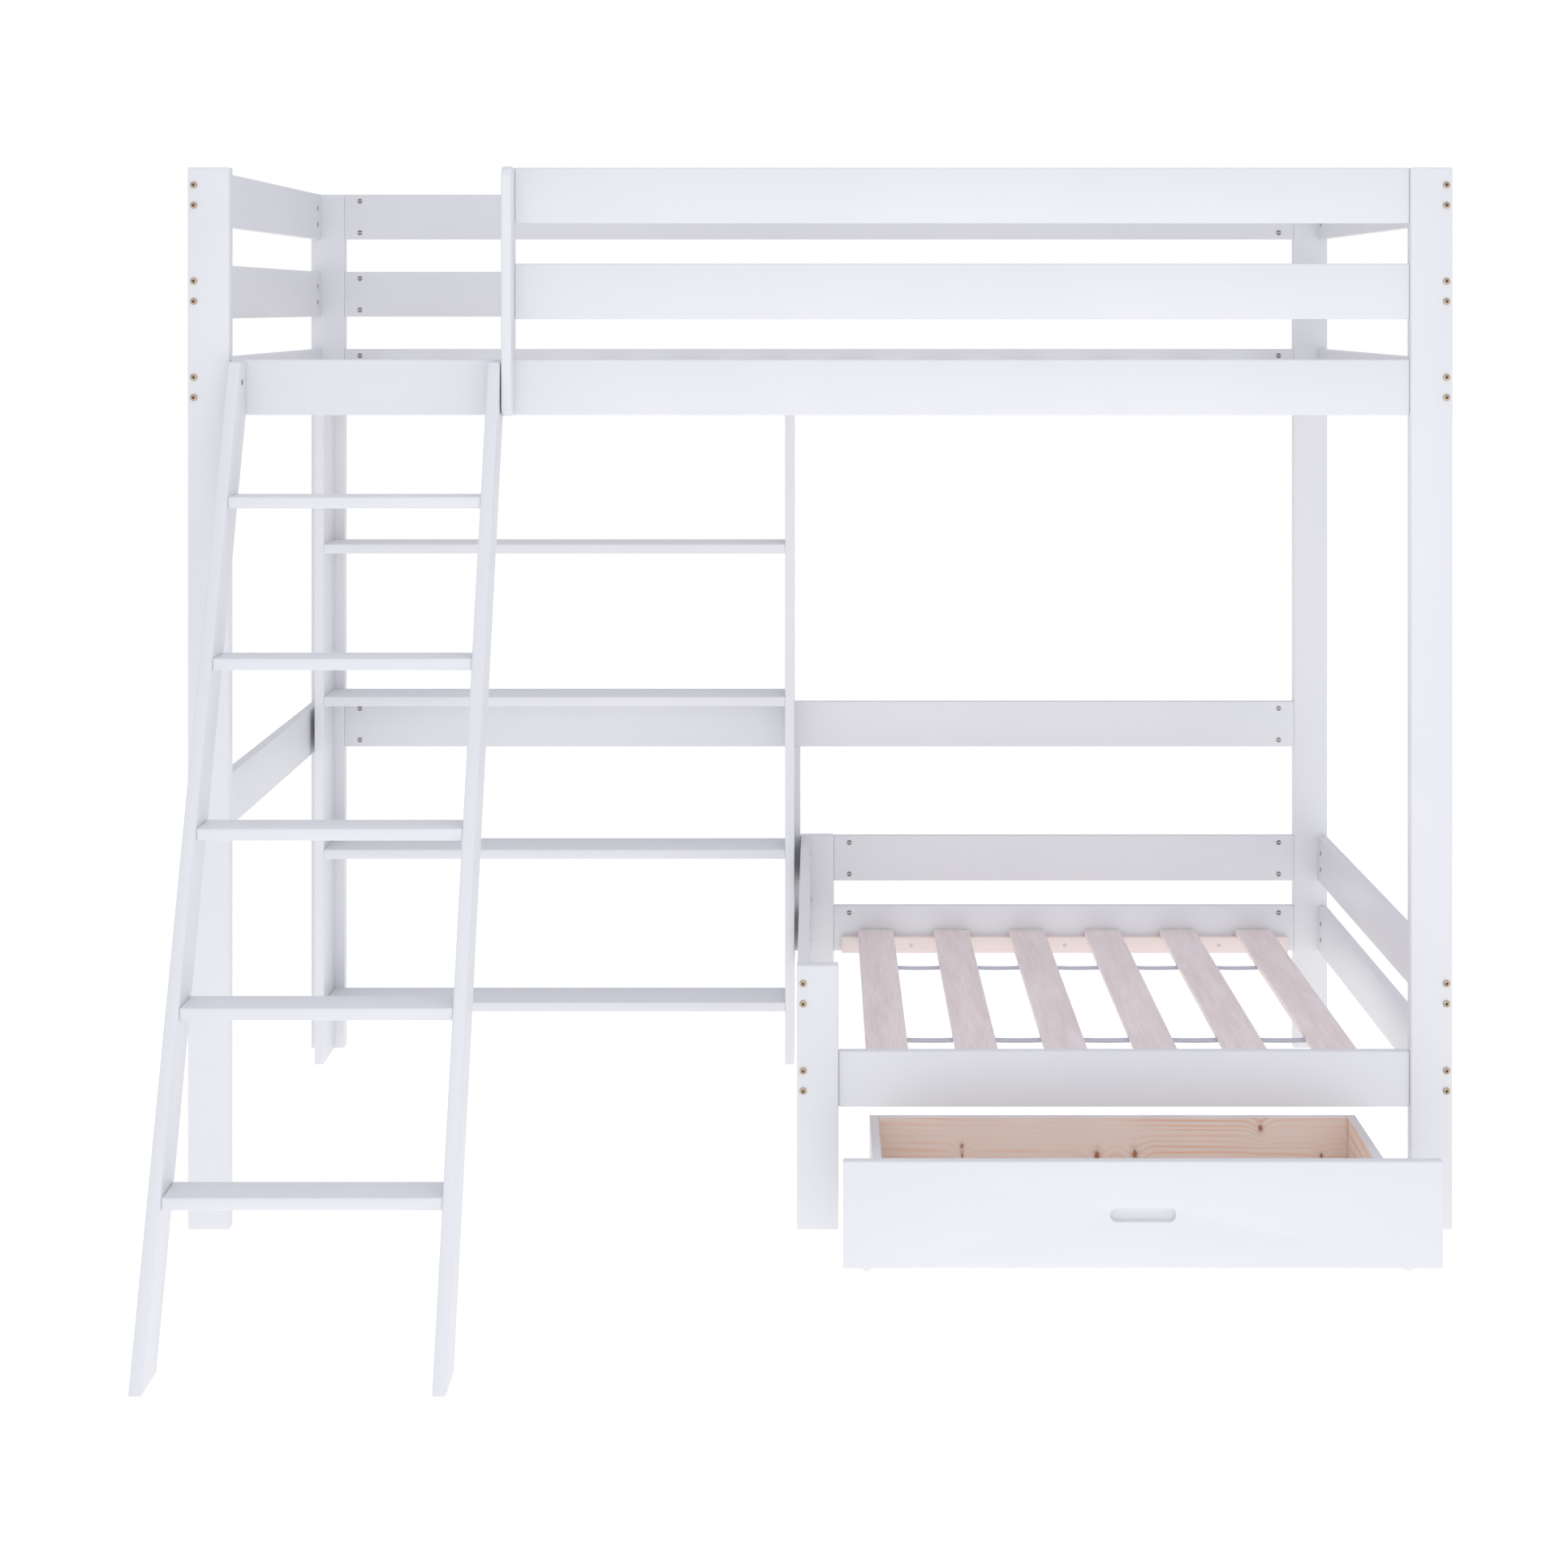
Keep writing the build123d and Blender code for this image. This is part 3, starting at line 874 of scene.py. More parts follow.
@dataclass
class Boards:
    """The painted boards that are plain in shape: posts, rails, panels and shelves."""

    finishes: Finishes
    proud_edge: float = 2.6 * MM
    plain_edge: float = 1.6 * MM
    proud: tuple[str, ...] = (
        "front_left_post",
        "front_right_post",
        "back_left_post",
        "back_right_post",
        "front_bed_rail",
        "guard_mid_rail",
        "guard_top_rail",
        "seat_front_leg",
        "seat_back_leg",
        "seat_front_rail",
    )
    along: dict[Grain, tuple[str, ...]] = field(
        default_factory=lambda: {
            Grain.X: (
                "front_bed_rail",
                "guard_mid_rail",
                "guard_top_rail",
                "back_top_rail",
                "back_mid_rail",
                "back_bed_rail",
                "back_low_rail",
                "seat_front_rail",
                "seat_back_upper_rail",
                "seat_back_lower_rail",
                "shelf_1",
                "shelf_2",
                "shelf_3",
                "shelf_4",
            ),
            Grain.Y: (
                "left_top_rail",
                "left_mid_rail",
                "left_bed_rail",
                "left_low_rail",
                "right_top_rail",
                "right_mid_rail",
                "right_bed_rail",
                "seat_left_upper_rail",
                "seat_left_lower_rail",
                "seat_right_upper_rail",
                "seat_right_lower_rail",
            ),
            Grain.Z: (
                "front_left_post",
                "front_right_post",
                "back_left_post",
                "back_right_post",
                "seat_front_leg",
                "seat_back_leg",
                "back_stile",
                "shelf_left_panel",
                "shelf_right_panel",
            ),
        }
    )

    def build(self) -> dict[str, bpy.types.Object]:
        """Model each board over its CAD node, and return the boards by their nodes.

        Returns:
            The boards, by their CAD nodes.
        """
        pieces = {}
        for grain, nodes in self.along.items():
            for node in nodes:
                edge = self.proud_edge if node in self.proud else self.plain_edge
                piece = ease(block(f"{node}_board", *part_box(node)), edge)
                dress(piece, "frame", self.finishes.paint[grain], [node])
                pieces[node] = piece
        return pieces


@dataclass
class GuardEndBoard:
    """The upright that ends the guard rails, notched over the bed rail."""

    finishes: Finishes
    corner: float = 20.0 * MM
    edge: float = 2.6 * MM

    def build(self) -> bpy.types.Object:
        """Model the board: a block, its notched foot drawn down, and its corners.

        Returns:
            The board.
        """
        low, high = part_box("guard_end_board")
        rail_low, rail_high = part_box("front_bed_rail")
        start = (low.x, low.y, rail_high.z)
        piece = block("guard_end_board_piece", start, high)
        edit(piece, "VERT", "SELECT")
        bpy.ops.mesh.bisect(plane_co=(0, rail_low.y, 0), plane_no=(0, 1, 0))
        leave()
        pick_faces(piece, lambda c, n: n.z < -0.9 and c.y < rail_low.y)
        drop = {"value": (0, 0, low.z - rail_high.z)}
        bpy.ops.mesh.extrude_region_move(TRANSFORM_OT_translate=drop)
        leave()
        pick_edges(piece, lambda a, b: max(a.y, b.y) < low.y + MM and abs(a.x - b.x) > MM)
        bevel(self.corner, 8)
        ease(piece, self.edge)
        paint = self.finishes.paint[Grain.Z]
        return dress(piece, "frame", paint, ["guard_end_board"])


@dataclass
class Ladder:
    """Two leaning sides, sawn level at the floor and upright at the rail, and treads."""

    finishes: Finishes
    side_width: float = 74.0 * MM
    treads: int = 5
    edge: float = 2.6 * MM

    def lean(self) -> float:
        """The sides' angle from upright, from their reach, width and bearing height.

        Returns:
            The angle in radians.
        """
        low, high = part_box("ladder_left_stringer")
        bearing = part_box("front_bed_rail")[0].z
        run = high.y - low.y
        return math.acos(self.side_width / math.hypot(run, bearing)) - math.atan2(
            bearing, run
        )

    def build(self) -> dict[str, bpy.types.Object]:
        """Model the sides and the treads, and return the sides by their nodes.

        Returns:
            The two sides, by their CAD nodes.
        """
        sides = {}
        angle = self.lean()
        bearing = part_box("front_bed_rail")[0].z
        front = (0, -math.cos(angle), math.sin(angle))
        back = (0, math.cos(angle), -math.sin(angle))
        paint = self.finishes.paint
        for node in ("ladder_left_stringer", "ladder_right_stringer"):
            low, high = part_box(node)
            piece = block(f"{node}_side", low, high)
            trim(piece, (0, low.y, 0), front)
            trim(piece, (0, high.y, bearing), back)
            ease(piece, self.edge)
            sides[node] = dress(piece, "frame", paint[Grain.Z], [node])
        for number in range(1, self.treads + 1):
            node = f"ladder_tread_{number}"
            piece = ease(block(f"{node}_board", *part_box(node)), self.edge)
            dress(piece, "frame", paint[Grain.X], [node])
        return sides


@dataclass
class Deck:
    """One row of slats with its tapes and staples."""

    finishes: Finishes
    node: str
    tapes: Sequence[Box]
    edge: float = 2.0 * MM
    sag: float = 0.8 * MM

    def build(self, frame: dict[str, Any]) -> list[bpy.types.Object]:
        """Model the slats, and return their tapes, which are dressed with the others.


        Returns:
            The tapes of this row.
        """
        boxes = sorted((bounds_of(s) for s in solids(self.node, frame)), key=lambda b: b[0].x)
        first = boxes[0]
        pattern = ease(block("slat", *first), self.edge, 2)
        shifts = [Matrix.Translation(box[0] - first[0]) for box in boxes]
        row = copies(pattern, shifts, f"{self.node}_row")
        dress(row, "frame", self.finishes.slat, [self.node])
        return [self._tape(box, boxes, n) for n, box in enumerate(self.tapes)]

    def _tape(self, box: Box, slats: Sequence[Box], number: int) -> bpy.types.Object:
        """One tape, flat under each slat and slack between two.

        Args:
            box: The CAD tape's corners.
            slats: The corners of each slat, from left to right.
            number: The tape's number.

        Returns:
            The tape.
        """
        low, high = box
        columns = []
        for left, right in zip(slats, slats[1:]):
            gap = right[0].x - left[1].x
            columns.append(left[1].x)
            columns += [left[1].x + gap * part for part in (0.25, 0.5, 0.75)]
            columns.append(right[0].x)
        tape = block(f"{self.node}_tape_{number}", low, high)
        for x in columns:
            edit(tape, "VERT", "SELECT")
            bpy.ops.mesh.bisect(plane_co=(x, 0, 0), plane_no=(1, 0, 0))
            leave()
        for left, right in zip(slats, slats[1:]):
            start, end = left[1].x, right[0].x
            for part, share in ((0.25, 0.75), (0.5, 1.0), (0.75, 0.75)):
                middle = start + (end - start) * part
                self._lower(tape, middle, self.sag * share)
        return tape

    def _lower(self, tape: bpy.types.Object, x: float, drop: float) -> None:
        """Pull down the tape's points at one place along it.

        Args:
            tape: The tape.
            x: The place along it.
            drop: How far it goes down.
        """
        edit(tape, "VERT")
        leave()
        for vertex in tape.data.vertices:
            vertex.select = abs(vertex.co.x - x) < 0.1 * MM
        bpy.ops.object.mode_set(mode="EDIT")
        bpy.ops.transform.translate(value=(0, 0, -drop))
        leave()

    def staples(self, frame: dict[str, Any]) -> list[Matrix]:
        """Where a staple holds a tape to each slat, looking down.


        Returns:
            The staples' places.
        """
        boxes = [bounds_of(s) for s in solids(self.node, frame)]
        places = []
        for low, high in boxes:
            for tape_low, tape_high in self.tapes:
                middle = (tape_low + tape_high) / 2
                point = ((low.x + high.x) / 2, middle.y, tape_low.z)
                places.append(facing(point, (0, 0, -1)))
        return places


@dataclass
class Hardware:
    """Bolt heads, barrel nuts and screws, one pattern of each, copied to its places."""

    finishes: Finishes
    head_radius: float = 5.4 * MM
    head_height: float = 2.9 * MM
    head_room: float = 3.0 * MM
    bore_radius: float = 6.9 * MM
    washer_radius: float = 6.3 * MM
    washer_height: float = 0.5 * MM
    socket_radius: float = 2.5 * MM
    nut_radius: float = 5.0 * MM
    nut_height: float = 0.4 * MM
    screw_radius: float = 3.6 * MM

    def bolt_head(self) -> bpy.types.Object:
        """A domed head with a hexagon socket, on a thin washer.

        Returns:
            The pattern, standing on the origin.
        """
        height = self.head_height
        head = disc("bolt_head", self.head_radius, height, 28)
        pick_edges(head, lambda a, b: min(a.z, b.z) > height - 0.01 * MM)
        bevel(1.1 * MM, 3)
        socket = disc("socket", self.socket_radius, height, 6)
        socket.location.z = height * 0.25
        settle(socket)
        cut(head, socket)
        # Painted shade: the socket's floor and walls take the dark recess steel.
        self._paint_hole_shade(head, lambda c: c.z < height * 0.9 and c.to_2d().length < self.socket_radius)
        washer = disc("washer", self.washer_radius, self.washer_height, 28)
        pick_edges(washer, lambda a, b: min(a.z, b.z) > self.washer_height - 0.01 * MM)
        bevel(0.2 * MM, 1)
        whole = join([head, washer], "bolt_pattern")
        smooth(whole, 35.0)
        return whole

    def _paint_hole_shade(
        self, piece: bpy.types.Object, test: Callable[[Vector], bool]
    ) -> bpy.types.Object:
        """Paint the faces of a recess a dark steel colour: painted shade, standing in for the
        dark inside the hole.

        Args:
            piece: The head that was cut.
            test: Takes a face's centre, and says if it lies in the recess.

        Returns:
            The same piece.
        """
        for finish in (self.finishes.zinc, self.finishes.recess):
            piece.data.materials.append(finish)
        # Faces inside the recess get the dark colour of painted shade, the rest keep the plated
        # steel.
        for face in piece.data.polygons:
            face.material_index = 1 if test(face.center) else 0
        return piece

    def nut_face(self) -> bpy.types.Object:
        """The round end of a barrel nut with its screwdriver slot.

        Returns:
            The pattern, level with the origin.
        """
        depth = 2.0 * MM
        face = disc("nut_face", self.nut_radius, depth, 24)
        face.location.z = self.nut_height - depth
        settle(face)
        top = self.nut_height
        pick_edges(face, lambda a, b: min(a.z, b.z) > top - 0.01 * MM)
        bevel(0.35 * MM, 2)
        wide, deep = 0.7 * MM, 0.9 * MM
        reach = self.nut_radius * 1.2
        slot = block("slot", (-reach, -wide, top - deep), (reach, wide, top + deep))
        cut(face, slot)
        # Painted shade: the slot's faces take the dark recess steel.
        return self._paint_hole_shade(face, lambda c: abs(c.y) < wide * 1.05 and c.z > top - deep * 1.1)

    def screw_face(self) -> bpy.types.Object:
        """A countersunk screw head with a cross recess.

        Returns:
            The pattern, level with the origin.
        """
        depth, top, reach = 1.2 * MM, 0.15 * MM, 2.1 * MM
        face = disc("screw_face", self.screw_radius, depth, 20)
        face.location.z = top - depth
        settle(face)
        for long, wide in ((reach, 0.45 * MM), (0.45 * MM, reach)):
            bit = block("bit", (-long, -wide, top - 0.8 * MM), (long, wide, top + MM))
            cut(face, bit)
        bottom = top - 0.85 * MM
        # Painted shade: the faces of the cross recess take the dark recess steel.
        return self._paint_hole_shade(face, lambda c: bottom < c.z < top - 0.1 * MM and c.length < reach)

    def build(self, frame: dict[str, Any], carriers: dict[str, bpy.types.Object]) -> None:
        """Copy each pattern to its places.

        Args:
            carriers: The boards that bolts go through, by their CAD nodes.
        """
        places = [self._bolt_place(points) for points in solids("frame_bolts", frame)]
        self._counterbore(places, carriers)
        zinc = self.finishes.zinc
        heads = copies(self.bolt_head(), places, "bolt_heads")
        dress(heads, "frame", zinc, ["frame_bolts"])
        boards = self._boards(frame)
        for node, pattern, name, body, finish in (
            ("barrel_nuts", self.nut_face(), "barrel_nut_faces", "frame", self.finishes.dull),
            ("wood_screws", self.screw_face(), "screw_heads", "frame", self.finishes.steel),
            ("drawer_screws", self.screw_face(), "drawer_screw_heads", "drawer", zinc),
        ):
            places = [self._open_end(points, boards) for points in solids(node, frame)]
            dress(copies(pattern, places, name), body, finish, [node])

    def _counterbore(
        self, places: Sequence[Matrix], carriers: dict[str, bpy.types.Object]
    ) -> None:
        """Sink a round hole for each head whose top lies level with the wood.

        Args:
            places: Where the heads sit and look.
            carriers: The boards that bolts go through, by their CAD nodes.
        """
        holes: dict[str, list[Matrix]] = {}
        for place in places:
            for node in carriers:
                if self._is_level(place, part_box(node)):
                    holes.setdefault(node, []).append(place)
        for node, group in holes.items():
            bore = disc("bore", self.bore_radius, 2 * self.head_room, 24)
            cut(carriers[node], copies(bore, group, "bores"))
            smooth(carriers[node])
            log.info("%d heads sunk in %s", len(group), node)

    def _is_level(self, place: Matrix, box: Box) -> bool:
        """Whether a head's top lies on the face of a board that it looks out of.

        Args:
            place: Where the head sits and looks.
            box: The board's lowest and highest corner.

        Returns:
            True where the head is sunk in that board.
        """
        outward = place.col[2].to_3d()
        top = place.translation + outward * self.head_room
        axis = max(range(3), key=lambda n: abs(outward[n]))
        low, high = box
        face = high[axis] if outward[axis] > 0 else low[axis]
        others = [n for n in range(3) if n != axis]
        margin = self.socket_radius
        within = all(low[n] + margin < top[n] < high[n] - margin for n in others)
        return within and abs(face - top[axis]) < 0.5 * MM

    def _bolt_place(self, points: Sequence[Vector]) -> Matrix:
        """Where the head of a bolt sits and which way it looks.

        Args:
            points: The corner points of the bolt's solid.

        Returns:
            The place of its head's underside.
        """
        low, high = bounds_of(points)
        size = high - low
        axis = max(range(3), key=lambda n: size[n])
        middle = (low + high) / 2
        far = [p for p in points if (p - middle)[(axis + 1) % 3] ** 2 > (4 * MM) ** 2]
        head = sum(p[axis] for p in far) / len(far)
        sign = 1.0 if head > middle[axis] else -1.0
        outward = Vector((0, 0, 0))
        outward[axis] = sign
        point = middle.copy()
        end = high[axis] if sign > 0 else low[axis]
        point[axis] = end - sign * self.head_room
        return facing(point, outward)

    def _boards(self, frame: dict[str, Any]) -> list[Box]:
        """The boxes of every board, with grouped nodes split into their solids.


        Returns:
            The boxes.
        """
        hardware = ("frame_bolts", "barrel_nuts", "wood_screws", "drawer_screws")
        boxes = []
        for node in frame["nodes"]:
            if node in hardware or node.startswith("ladder_tread"):
                continue
            boxes += [bounds_of(points) for points in solids(node, frame)]
        return boxes

    def _open_end(self, points: Sequence[Vector], boards: Sequence[Box]) -> Matrix:
        """The end of a nut or screw that no board covers, looking out of the wood.

        Args:
            points: The corner points of the nut or screw.
            boards: The boxes of the boards.

        Returns:
            The place of that end.
        """
        low, high = bounds_of(points)
        size = high - low
        axis = max(range(3), key=lambda n: size[n])
        middle = (low + high) / 2
        depths = []
        for sign in (-1.0, 1.0):
            tip = middle.copy()
            tip[axis] = (high if sign > 0 else low)[axis]
            inside = [self._depth(tip, box) for box in boards]
            depths.append((max(inside), sign, tip))
        depth, sign, tip = min(depths, key=lambda d: d[0])
        outward = Vector((0, 0, 0))
        outward[axis] = sign
        if depth < 0:
            tip[axis] += sign * depth
        return facing(tip, outward)

    def _depth(self, point: Vector, box: Box) -> float:
        """How far a point lies inside a box, below nought outside it."""
        low, high = box
        return min(min(point[n] - low[n], high[n] - point[n]) for n in range(3))


@dataclass
class Drawer:
    """The drawer: a painted front with a finger slot, and a box bare on the inside."""

    finishes: Finishes
    pull_length: float = 98.0 * MM
    pull_height: float = 20.0 * MM
    pull_depth: float = 11.0 * MM
    edge: float = 2.4 * MM
    plate_thick: float = 3.0 * MM
    axle_height: float = 20.0 * MM
    axle_radius: float = 4.0 * MM
    cap_radius: float = 6.9 * MM
    cap_height: float = 2.0 * MM
    cap_round: float = 1.2 * MM
    wheel_bore: float = 4.2 * MM
    tyre_round: float = 2.4 * MM
    tyre_width: float = 3.0 * MM
    tyre_step: float = 0.8 * MM
    dish_width: float = 5.0 * MM
    dish_depth: float = 1.8 * MM
    hub_step: float = 0.6 * MM
    hub_rise: float = 1.6 * MM
    knots: tuple[tuple[float, float, float], ...] = (  # x and z in m, radius in mm
        (0.233, 0.0815, 4.0),
        (0.2335, 0.066, 3.2),
        (0.4555, 0.0655, 7.0),
        (0.517, 0.068, 6.5),
        (0.7234, 0.111, 5.5),
        (0.8234, 0.0655, 3.6),
    )

    def build(self, frame: dict[str, Any]) -> None:
        """Model the front, the box, the brackets and the wheels.
        """
        self._front()
        self._box()
        self._base()
        self._brackets(frame)
        self._wheels()

    def _front(self) -> None:
        """The front board, with a round-ended pocket to pull it by."""
        low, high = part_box("drawer_front")
        middle = (low + high) / 2
        piece = block("drawer_front_board", low, high)
        ease(piece, self.edge)
        half = Vector((self.pull_length / 2, self.pull_depth, self.pull_height / 2))
        centre = Vector((middle.x, low.y, middle.z))
        cutter = block("pocket", centre - half, centre + half)
        pick_edges(cutter, lambda a, b: abs(a.y - b.y) > MM)
        bevel(self.pull_height / 2 - 0.05 * MM, 10)
        pick_faces(cutter, lambda c, n: n.y > 0.9)
        bpy.ops.mesh.region_to_loop()
        bevel(3.0 * MM, 4)
        cut(piece, cutter)
        reach = half * 1.05
        pick_edges(
            piece,
            lambda a, b: all(
                abs(p.y - low.y) < 0.02 * MM
                and abs(p.x - middle.x) < reach.x
                and abs(p.z - middle.z) < reach.z
                for p in (a, b)
            ),
        )
        bevel(1.2 * MM, 3)
        smooth(piece)
        paint = self.finishes.paint[Grain.X]
        dress(piece, "drawer", paint, ["drawer_front"])

    def _box(self) -> None:
        """The sides and the back, painted outside and bare inside."""
        back_low, back_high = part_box("drawer_back")
        face = back_low.y
        knots = tuple((x, face, z, r * MM) for x, z, r in self.knots)
        bare = {
            "drawer_back": BarePine("drawer_back_pine", Grain.X, knots=knots).build(),
            "drawer_left_side": BarePine("drawer_side_pine", Grain.Y, rings=48.0).build(),
        }
        bare["drawer_right_side"] = bare["drawer_left_side"]
        inward = {
            "drawer_back": Vector((0, -1, 0)),
            "drawer_left_side": Vector((1, 0, 0)),
            "drawer_right_side": Vector((-1, 0, 0)),
        }
        for node, look in inward.items():
            piece = ease(block(f"{node}_board", *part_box(node)), 1.0 * MM, 2)
            grain = Grain.X if node == "drawer_back" else Grain.Y
            dress(piece, "drawer", self.finishes.paint[grain], [node])
            piece.data.materials.append(bare[node])
            for polygon in piece.data.polygons:
                if polygon.normal.dot(look) > 0.9:
                    polygon.material_index = 1

    def _base(self) -> None:
        """The thin base, seen between the walls that it is let into."""
        low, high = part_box("drawer_base")
        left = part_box("drawer_left_side")[1].x
        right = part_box("drawer_right_side")[0].x
        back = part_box("drawer_back")[0].y
        piece = block("drawer_base_sheet", (left, low.y, low.z), (right, back, high.z))
        ease(piece, 0.4 * MM, 1)
        wood = BarePine("base_pine", Grain.X, contrast=0.4, rings=30.0).build()
        dress(piece, "drawer", wood, ["drawer_base"])

    def _brackets(self, frame: dict[str, Any]) -> None:
        """Steel plates with stub axles, one beside each wheel.
        """
        made = []
        back_low, back_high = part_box("drawer_back")
        for points in solids("wheel_brackets", frame):
            low, high = bounds_of(points)
            side = -1.0 if low.x + high.x < back_low.x + back_high.x else 1.0
            inner = high.x if side < 0 else low.x
            made.append(self._bracket(low, high, inner, side))
        bracket = join(made, "wheel_bracket_plates")
        smooth(bracket, 35.0)
        steel = self.finishes.steel
        dress(bracket, "drawer", steel, ["wheel_brackets"])

    def _bracket(
        self, low: Vector, high: Vector, inner: float, side: float
    ) -> bpy.types.Object:
        """One bracket: a tapered plate, its axle and the riveted cap.

        Args:
            low: The CAD bracket's lowest corner.
            high: Its highest corner.
            inner: The X of the drawer side that it is screwed to.
            side: -1 on the left of the drawer, 1 on the right.

        Returns:
            The bracket, in its place.
        """
        xs = sorted((inner, inner + side * self.plate_thick))
        plate = block("plate", (xs[0], low.y, low.z), (xs[1], high.y, high.z))
        middle_y = (low.y + high.y) / 2
        half = (high.y - low.y) / 2
        rise = self.axle_height * 2 - low.z
        for sign in (-1.0, 1.0):
            point = (0, middle_y + sign * half, low.z + rise)
            slope = Vector((0, sign * rise, -half / 2)).normalized()
            trim(plate, point, slope)
        ease(plate, 0.7 * MM, 2)
        reach = high.x - low.x
        axle = disc("axle", self.axle_radius, reach, 24)
        cap = disc("cap", self.cap_radius, self.cap_height, 24)
        pick_edges(cap, lambda a, b: min(a.z, b.z) > self.cap_height - 0.01 * MM)
        bevel(self.cap_round, 3)
        root = Vector((inner, middle_y, self.axle_height))
        outward = Vector((side, 0, 0))
        axle.matrix_world = facing(root, outward)
        cap.matrix_world = facing(root + outward * (reach - self.cap_height), outward)
        return join([plate, axle, cap], "bracket")

    def _wheels(self) -> None:
        """Four plastic wheels with a raised tyre and a dished hub."""
        for name in ("front_left", "back_left", "front_right", "back_right"):
            low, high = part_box(f"{name}_wheel")
            radius, width = (high.z - low.z) / 2, high.x - low.x
            wheel = disc(f"{name}_wheel_piece", radius, width, 40)
            pick_edges(wheel, lambda a, b: abs(a.z - b.z) < 0.01 * MM)
            bevel(self.tyre_round, 4)
            pick_faces(wheel, lambda c, n: abs(n.z) > 0.9 and c.to_2d().length < MM)
            bpy.ops.mesh.inset(thickness=self.tyre_width, depth=0.0)
            bpy.ops.mesh.inset(thickness=self.tyre_step, depth=-self.dish_depth)
            bpy.ops.mesh.inset(thickness=self.dish_width, depth=0.0)
            bpy.ops.mesh.inset(thickness=self.hub_step, depth=self.hub_rise)
            leave()
            bore = disc("bore", self.wheel_bore, width * 3, 24)
            bore.location.z = -width
            settle(bore)
            cut(wheel, bore)
            middle = (low + high) / 2
            wheel.matrix_world = facing((low.x, middle.y, middle.z), (1, 0, 0))
            settle(wheel)
            smooth(wheel, 35.0)
            node = f"{name}_wheel"
            plastic = self.finishes.plastic
            dress(wheel, f"{node}_body", plastic, [node])


@dataclass
class Bedding:
    """The ledgers and the two decks of slats that they carry."""

    finishes: Finishes

    def build(self, frame: dict[str, Any]) -> None:
        """Model the ledgers, slats, tapes and staples.
        """
        ledgers = []
        for number, points in enumerate(solids("slat_ledgers", frame)):
            ledger = block(f"ledger_{number}", *bounds_of(points))
            ledgers.append(ease(ledger, 1.4 * MM, 2))
        row = join(ledgers, "ledger_strips")
        dress(row, "frame", self.finishes.ledger, ["slat_ledgers"])
        boxes = [bounds_of(points) for points in solids("slat_tapes", frame)]
        tapes, staples = [], []
        for node in ("bed_slats", "seat_slats"):
            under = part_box(node)[0].z
            mine = [box for box in boxes if abs(box[1].z - under) < MM]
            deck = Deck(self.finishes, node, mine)
            tapes += deck.build(frame)
            staples += deck.staples(frame)
        band = join(tapes, "tape_bands")
        dress(band, "frame", self.finishes.tape, ["slat_tapes"])
        wire = block("staple", (-5.5 * MM, -0.5 * MM, 0), (5.5 * MM, 0.5 * MM, 0.6 * MM))
        ease(wire, 0.2 * MM, 1)
        clips = copies(wire, staples, "tape_staples")
        dress(clips, "frame", self.finishes.steel)


@dataclass(frozen=True)
class Lamp:
    """A square soft lamp."""

    name: str
    place: tuple[float, float, float]
    target: tuple[float, float, float]
    size: float
    watts: float
    colour: Colour

    def build(self) -> None:
        """Hang the lamp in its place, turned to its target."""
        light = bpy.data.lights.new(self.name, "AREA")
        light.size = self.size
        light.energy = self.watts
        light.color = self.colour
        holder = bpy.data.objects.new(self.name, light)
        bpy.context.collection.objects.link(holder)
        holder.location = self.place
        aim = Vector(self.target) - Vector(self.place)
        holder.rotation_euler = aim.to_track_quat("-Z", "Y").to_euler()


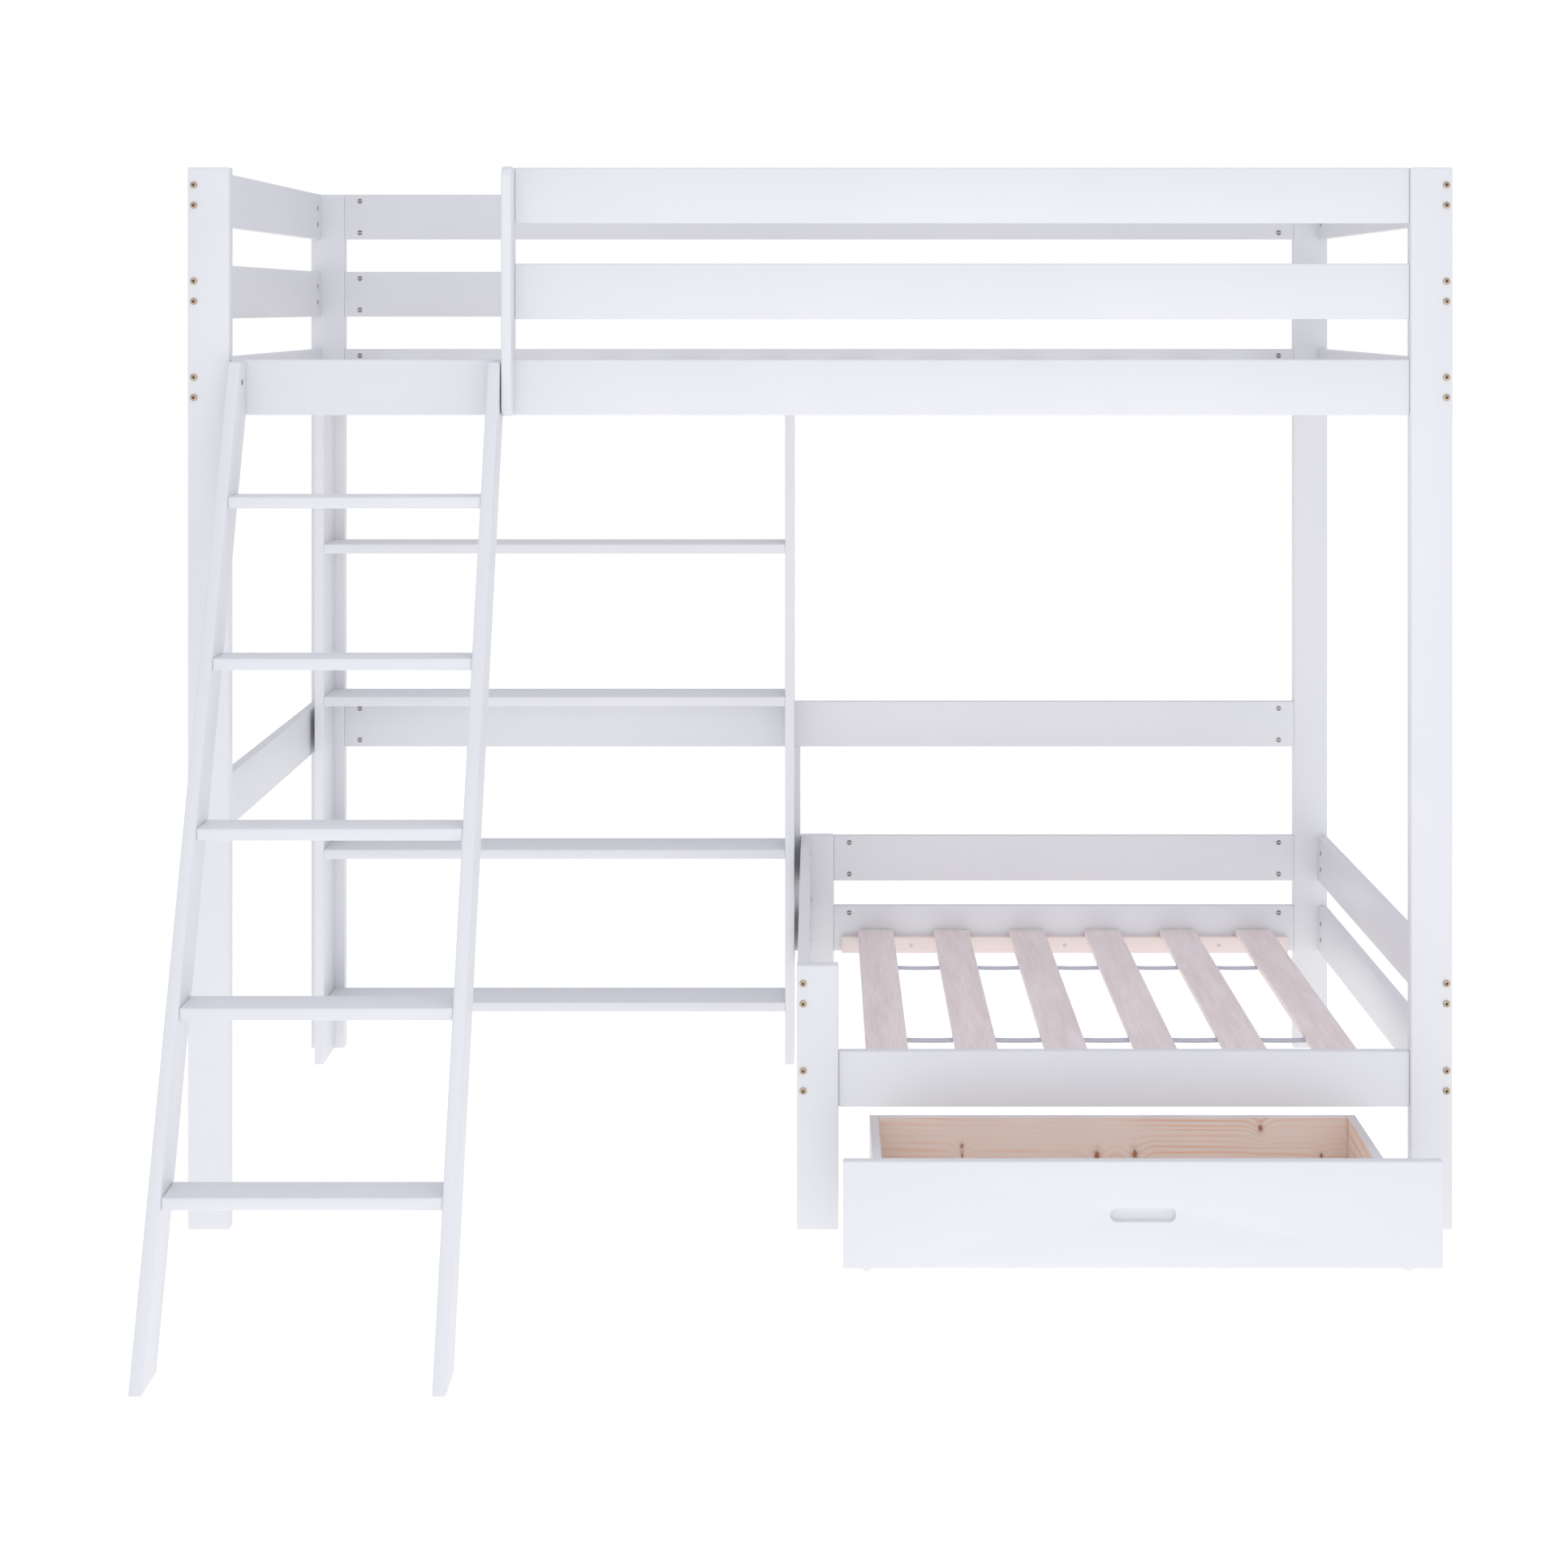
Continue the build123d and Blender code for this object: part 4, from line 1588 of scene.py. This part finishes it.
@dataclass
class Studio:
    """A pale floor, soft light from the front, and the photograph's camera."""

    front: float = -0.207
    distance: float = 4.216
    across: float = -0.007
    height: float = 1.461
    lens: float = 61.23
    shift: tuple[float, float] = (-0.0202, -0.3049)
    ambient: Colour = (0.60, 0.612, 0.68)
    floor_size: float = 60.0
    floor_drop: float = 0.5 * MM
    floor_tone: Colour = (0.55, 0.55, 0.55)
    floor_glow: float = 0.70
    lamps: tuple[Lamp, ...] = (
        Lamp("front_softbox", (-0.8, -5.2, 2.0), (0, 0, 0.9), 3.6, 24.0, (1, 0.99, 0.97)),
        Lamp("top_softbox", (0.5, -0.5, 4.6), (0, 0, 0.8), 4.0, 26.0, (0.97, 0.98, 1)),
        Lamp("low_reflector", (1.0, -3.6, 0.7), (0.5, 0.7, 0.5), 1.8, 11.0, (1, 0.99, 0.98)),
    )

    def build(self) -> None:
        """Set up the world, the floor, the lamps and the camera."""
        self._world()
        self._floor()
        for lamp in self.lamps:
            lamp.build()
        self._camera()

    def _world(self) -> None:
        """White where the camera looks past the bed, cool and even as light."""
        world = bpy.data.worlds.new("studio")
        bpy.context.scene.world = world
        world.use_nodes = True
        tree = world.node_tree
        tree.nodes.clear()
        light = tree.nodes.new("ShaderNodeBackground")
        light.inputs[0].default_value = (*self.ambient, 1)
        backdrop = tree.nodes.new("ShaderNodeBackground")
        backdrop.inputs[0].default_value = (1, 1, 1, 1)
        rays = tree.nodes.new("ShaderNodeLightPath")
        mix = tree.nodes.new("ShaderNodeMixShader")
        output = tree.nodes.new("ShaderNodeOutputWorld")
        tree.links.new(rays.outputs["Is Camera Ray"], mix.inputs[0])
        tree.links.new(light.outputs[0], mix.inputs[1])
        tree.links.new(backdrop.outputs[0], mix.inputs[2])
        tree.links.new(mix.outputs[0], output.inputs[0])

    def _floor(self) -> None:
        """A wide pale floor, lit so that it meets the white backdrop."""
        place = (0, 0, -self.floor_drop)
        bpy.ops.mesh.primitive_plane_add(size=self.floor_size, location=place)
        floor = added("floor")
        recipe = Recipe("pale_floor")
        shade = recipe.finish(base_color=self.floor_tone, roughness=0.9)
        recipe.surface.inputs["Emission Color"].default_value = (1, 1, 1, 1)
        recipe.surface.inputs["Emission Strength"].default_value = self.floor_glow
        floor.data.materials.append(shade)

    def _camera(self) -> None:
        """A level camera with a shifted frame, as the photograph was taken."""
        data = bpy.data.cameras.new("camera")
        data.sensor_width = 36.0
        data.lens = self.lens
        data.shift_x, data.shift_y = self.shift
        camera = bpy.data.objects.new("camera", data)
        bpy.context.collection.objects.link(camera)
        camera.location = (self.across, self.front - self.distance, self.height)
        camera.rotation_euler = (math.pi / 2, 0, 0)
        bpy.context.scene.camera = camera


def main() -> None:
    """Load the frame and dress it."""
    logging.basicConfig(level=logging.INFO, format="%(name)s: %(message)s")
    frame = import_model()
    bpy.context.scene.view_settings.view_transform = "Standard"
    finishes = Finishes().build()
    carriers = Boards(finishes).build()
    carriers["guard_end_board"] = GuardEndBoard(finishes).build()
    carriers |= Ladder(finishes).build()
    Bedding(finishes).build(frame)
    Drawer(finishes).build(frame)
    Hardware(finishes).build(frame, carriers)
    Studio().build()


if __name__ == "__main__":
    main()
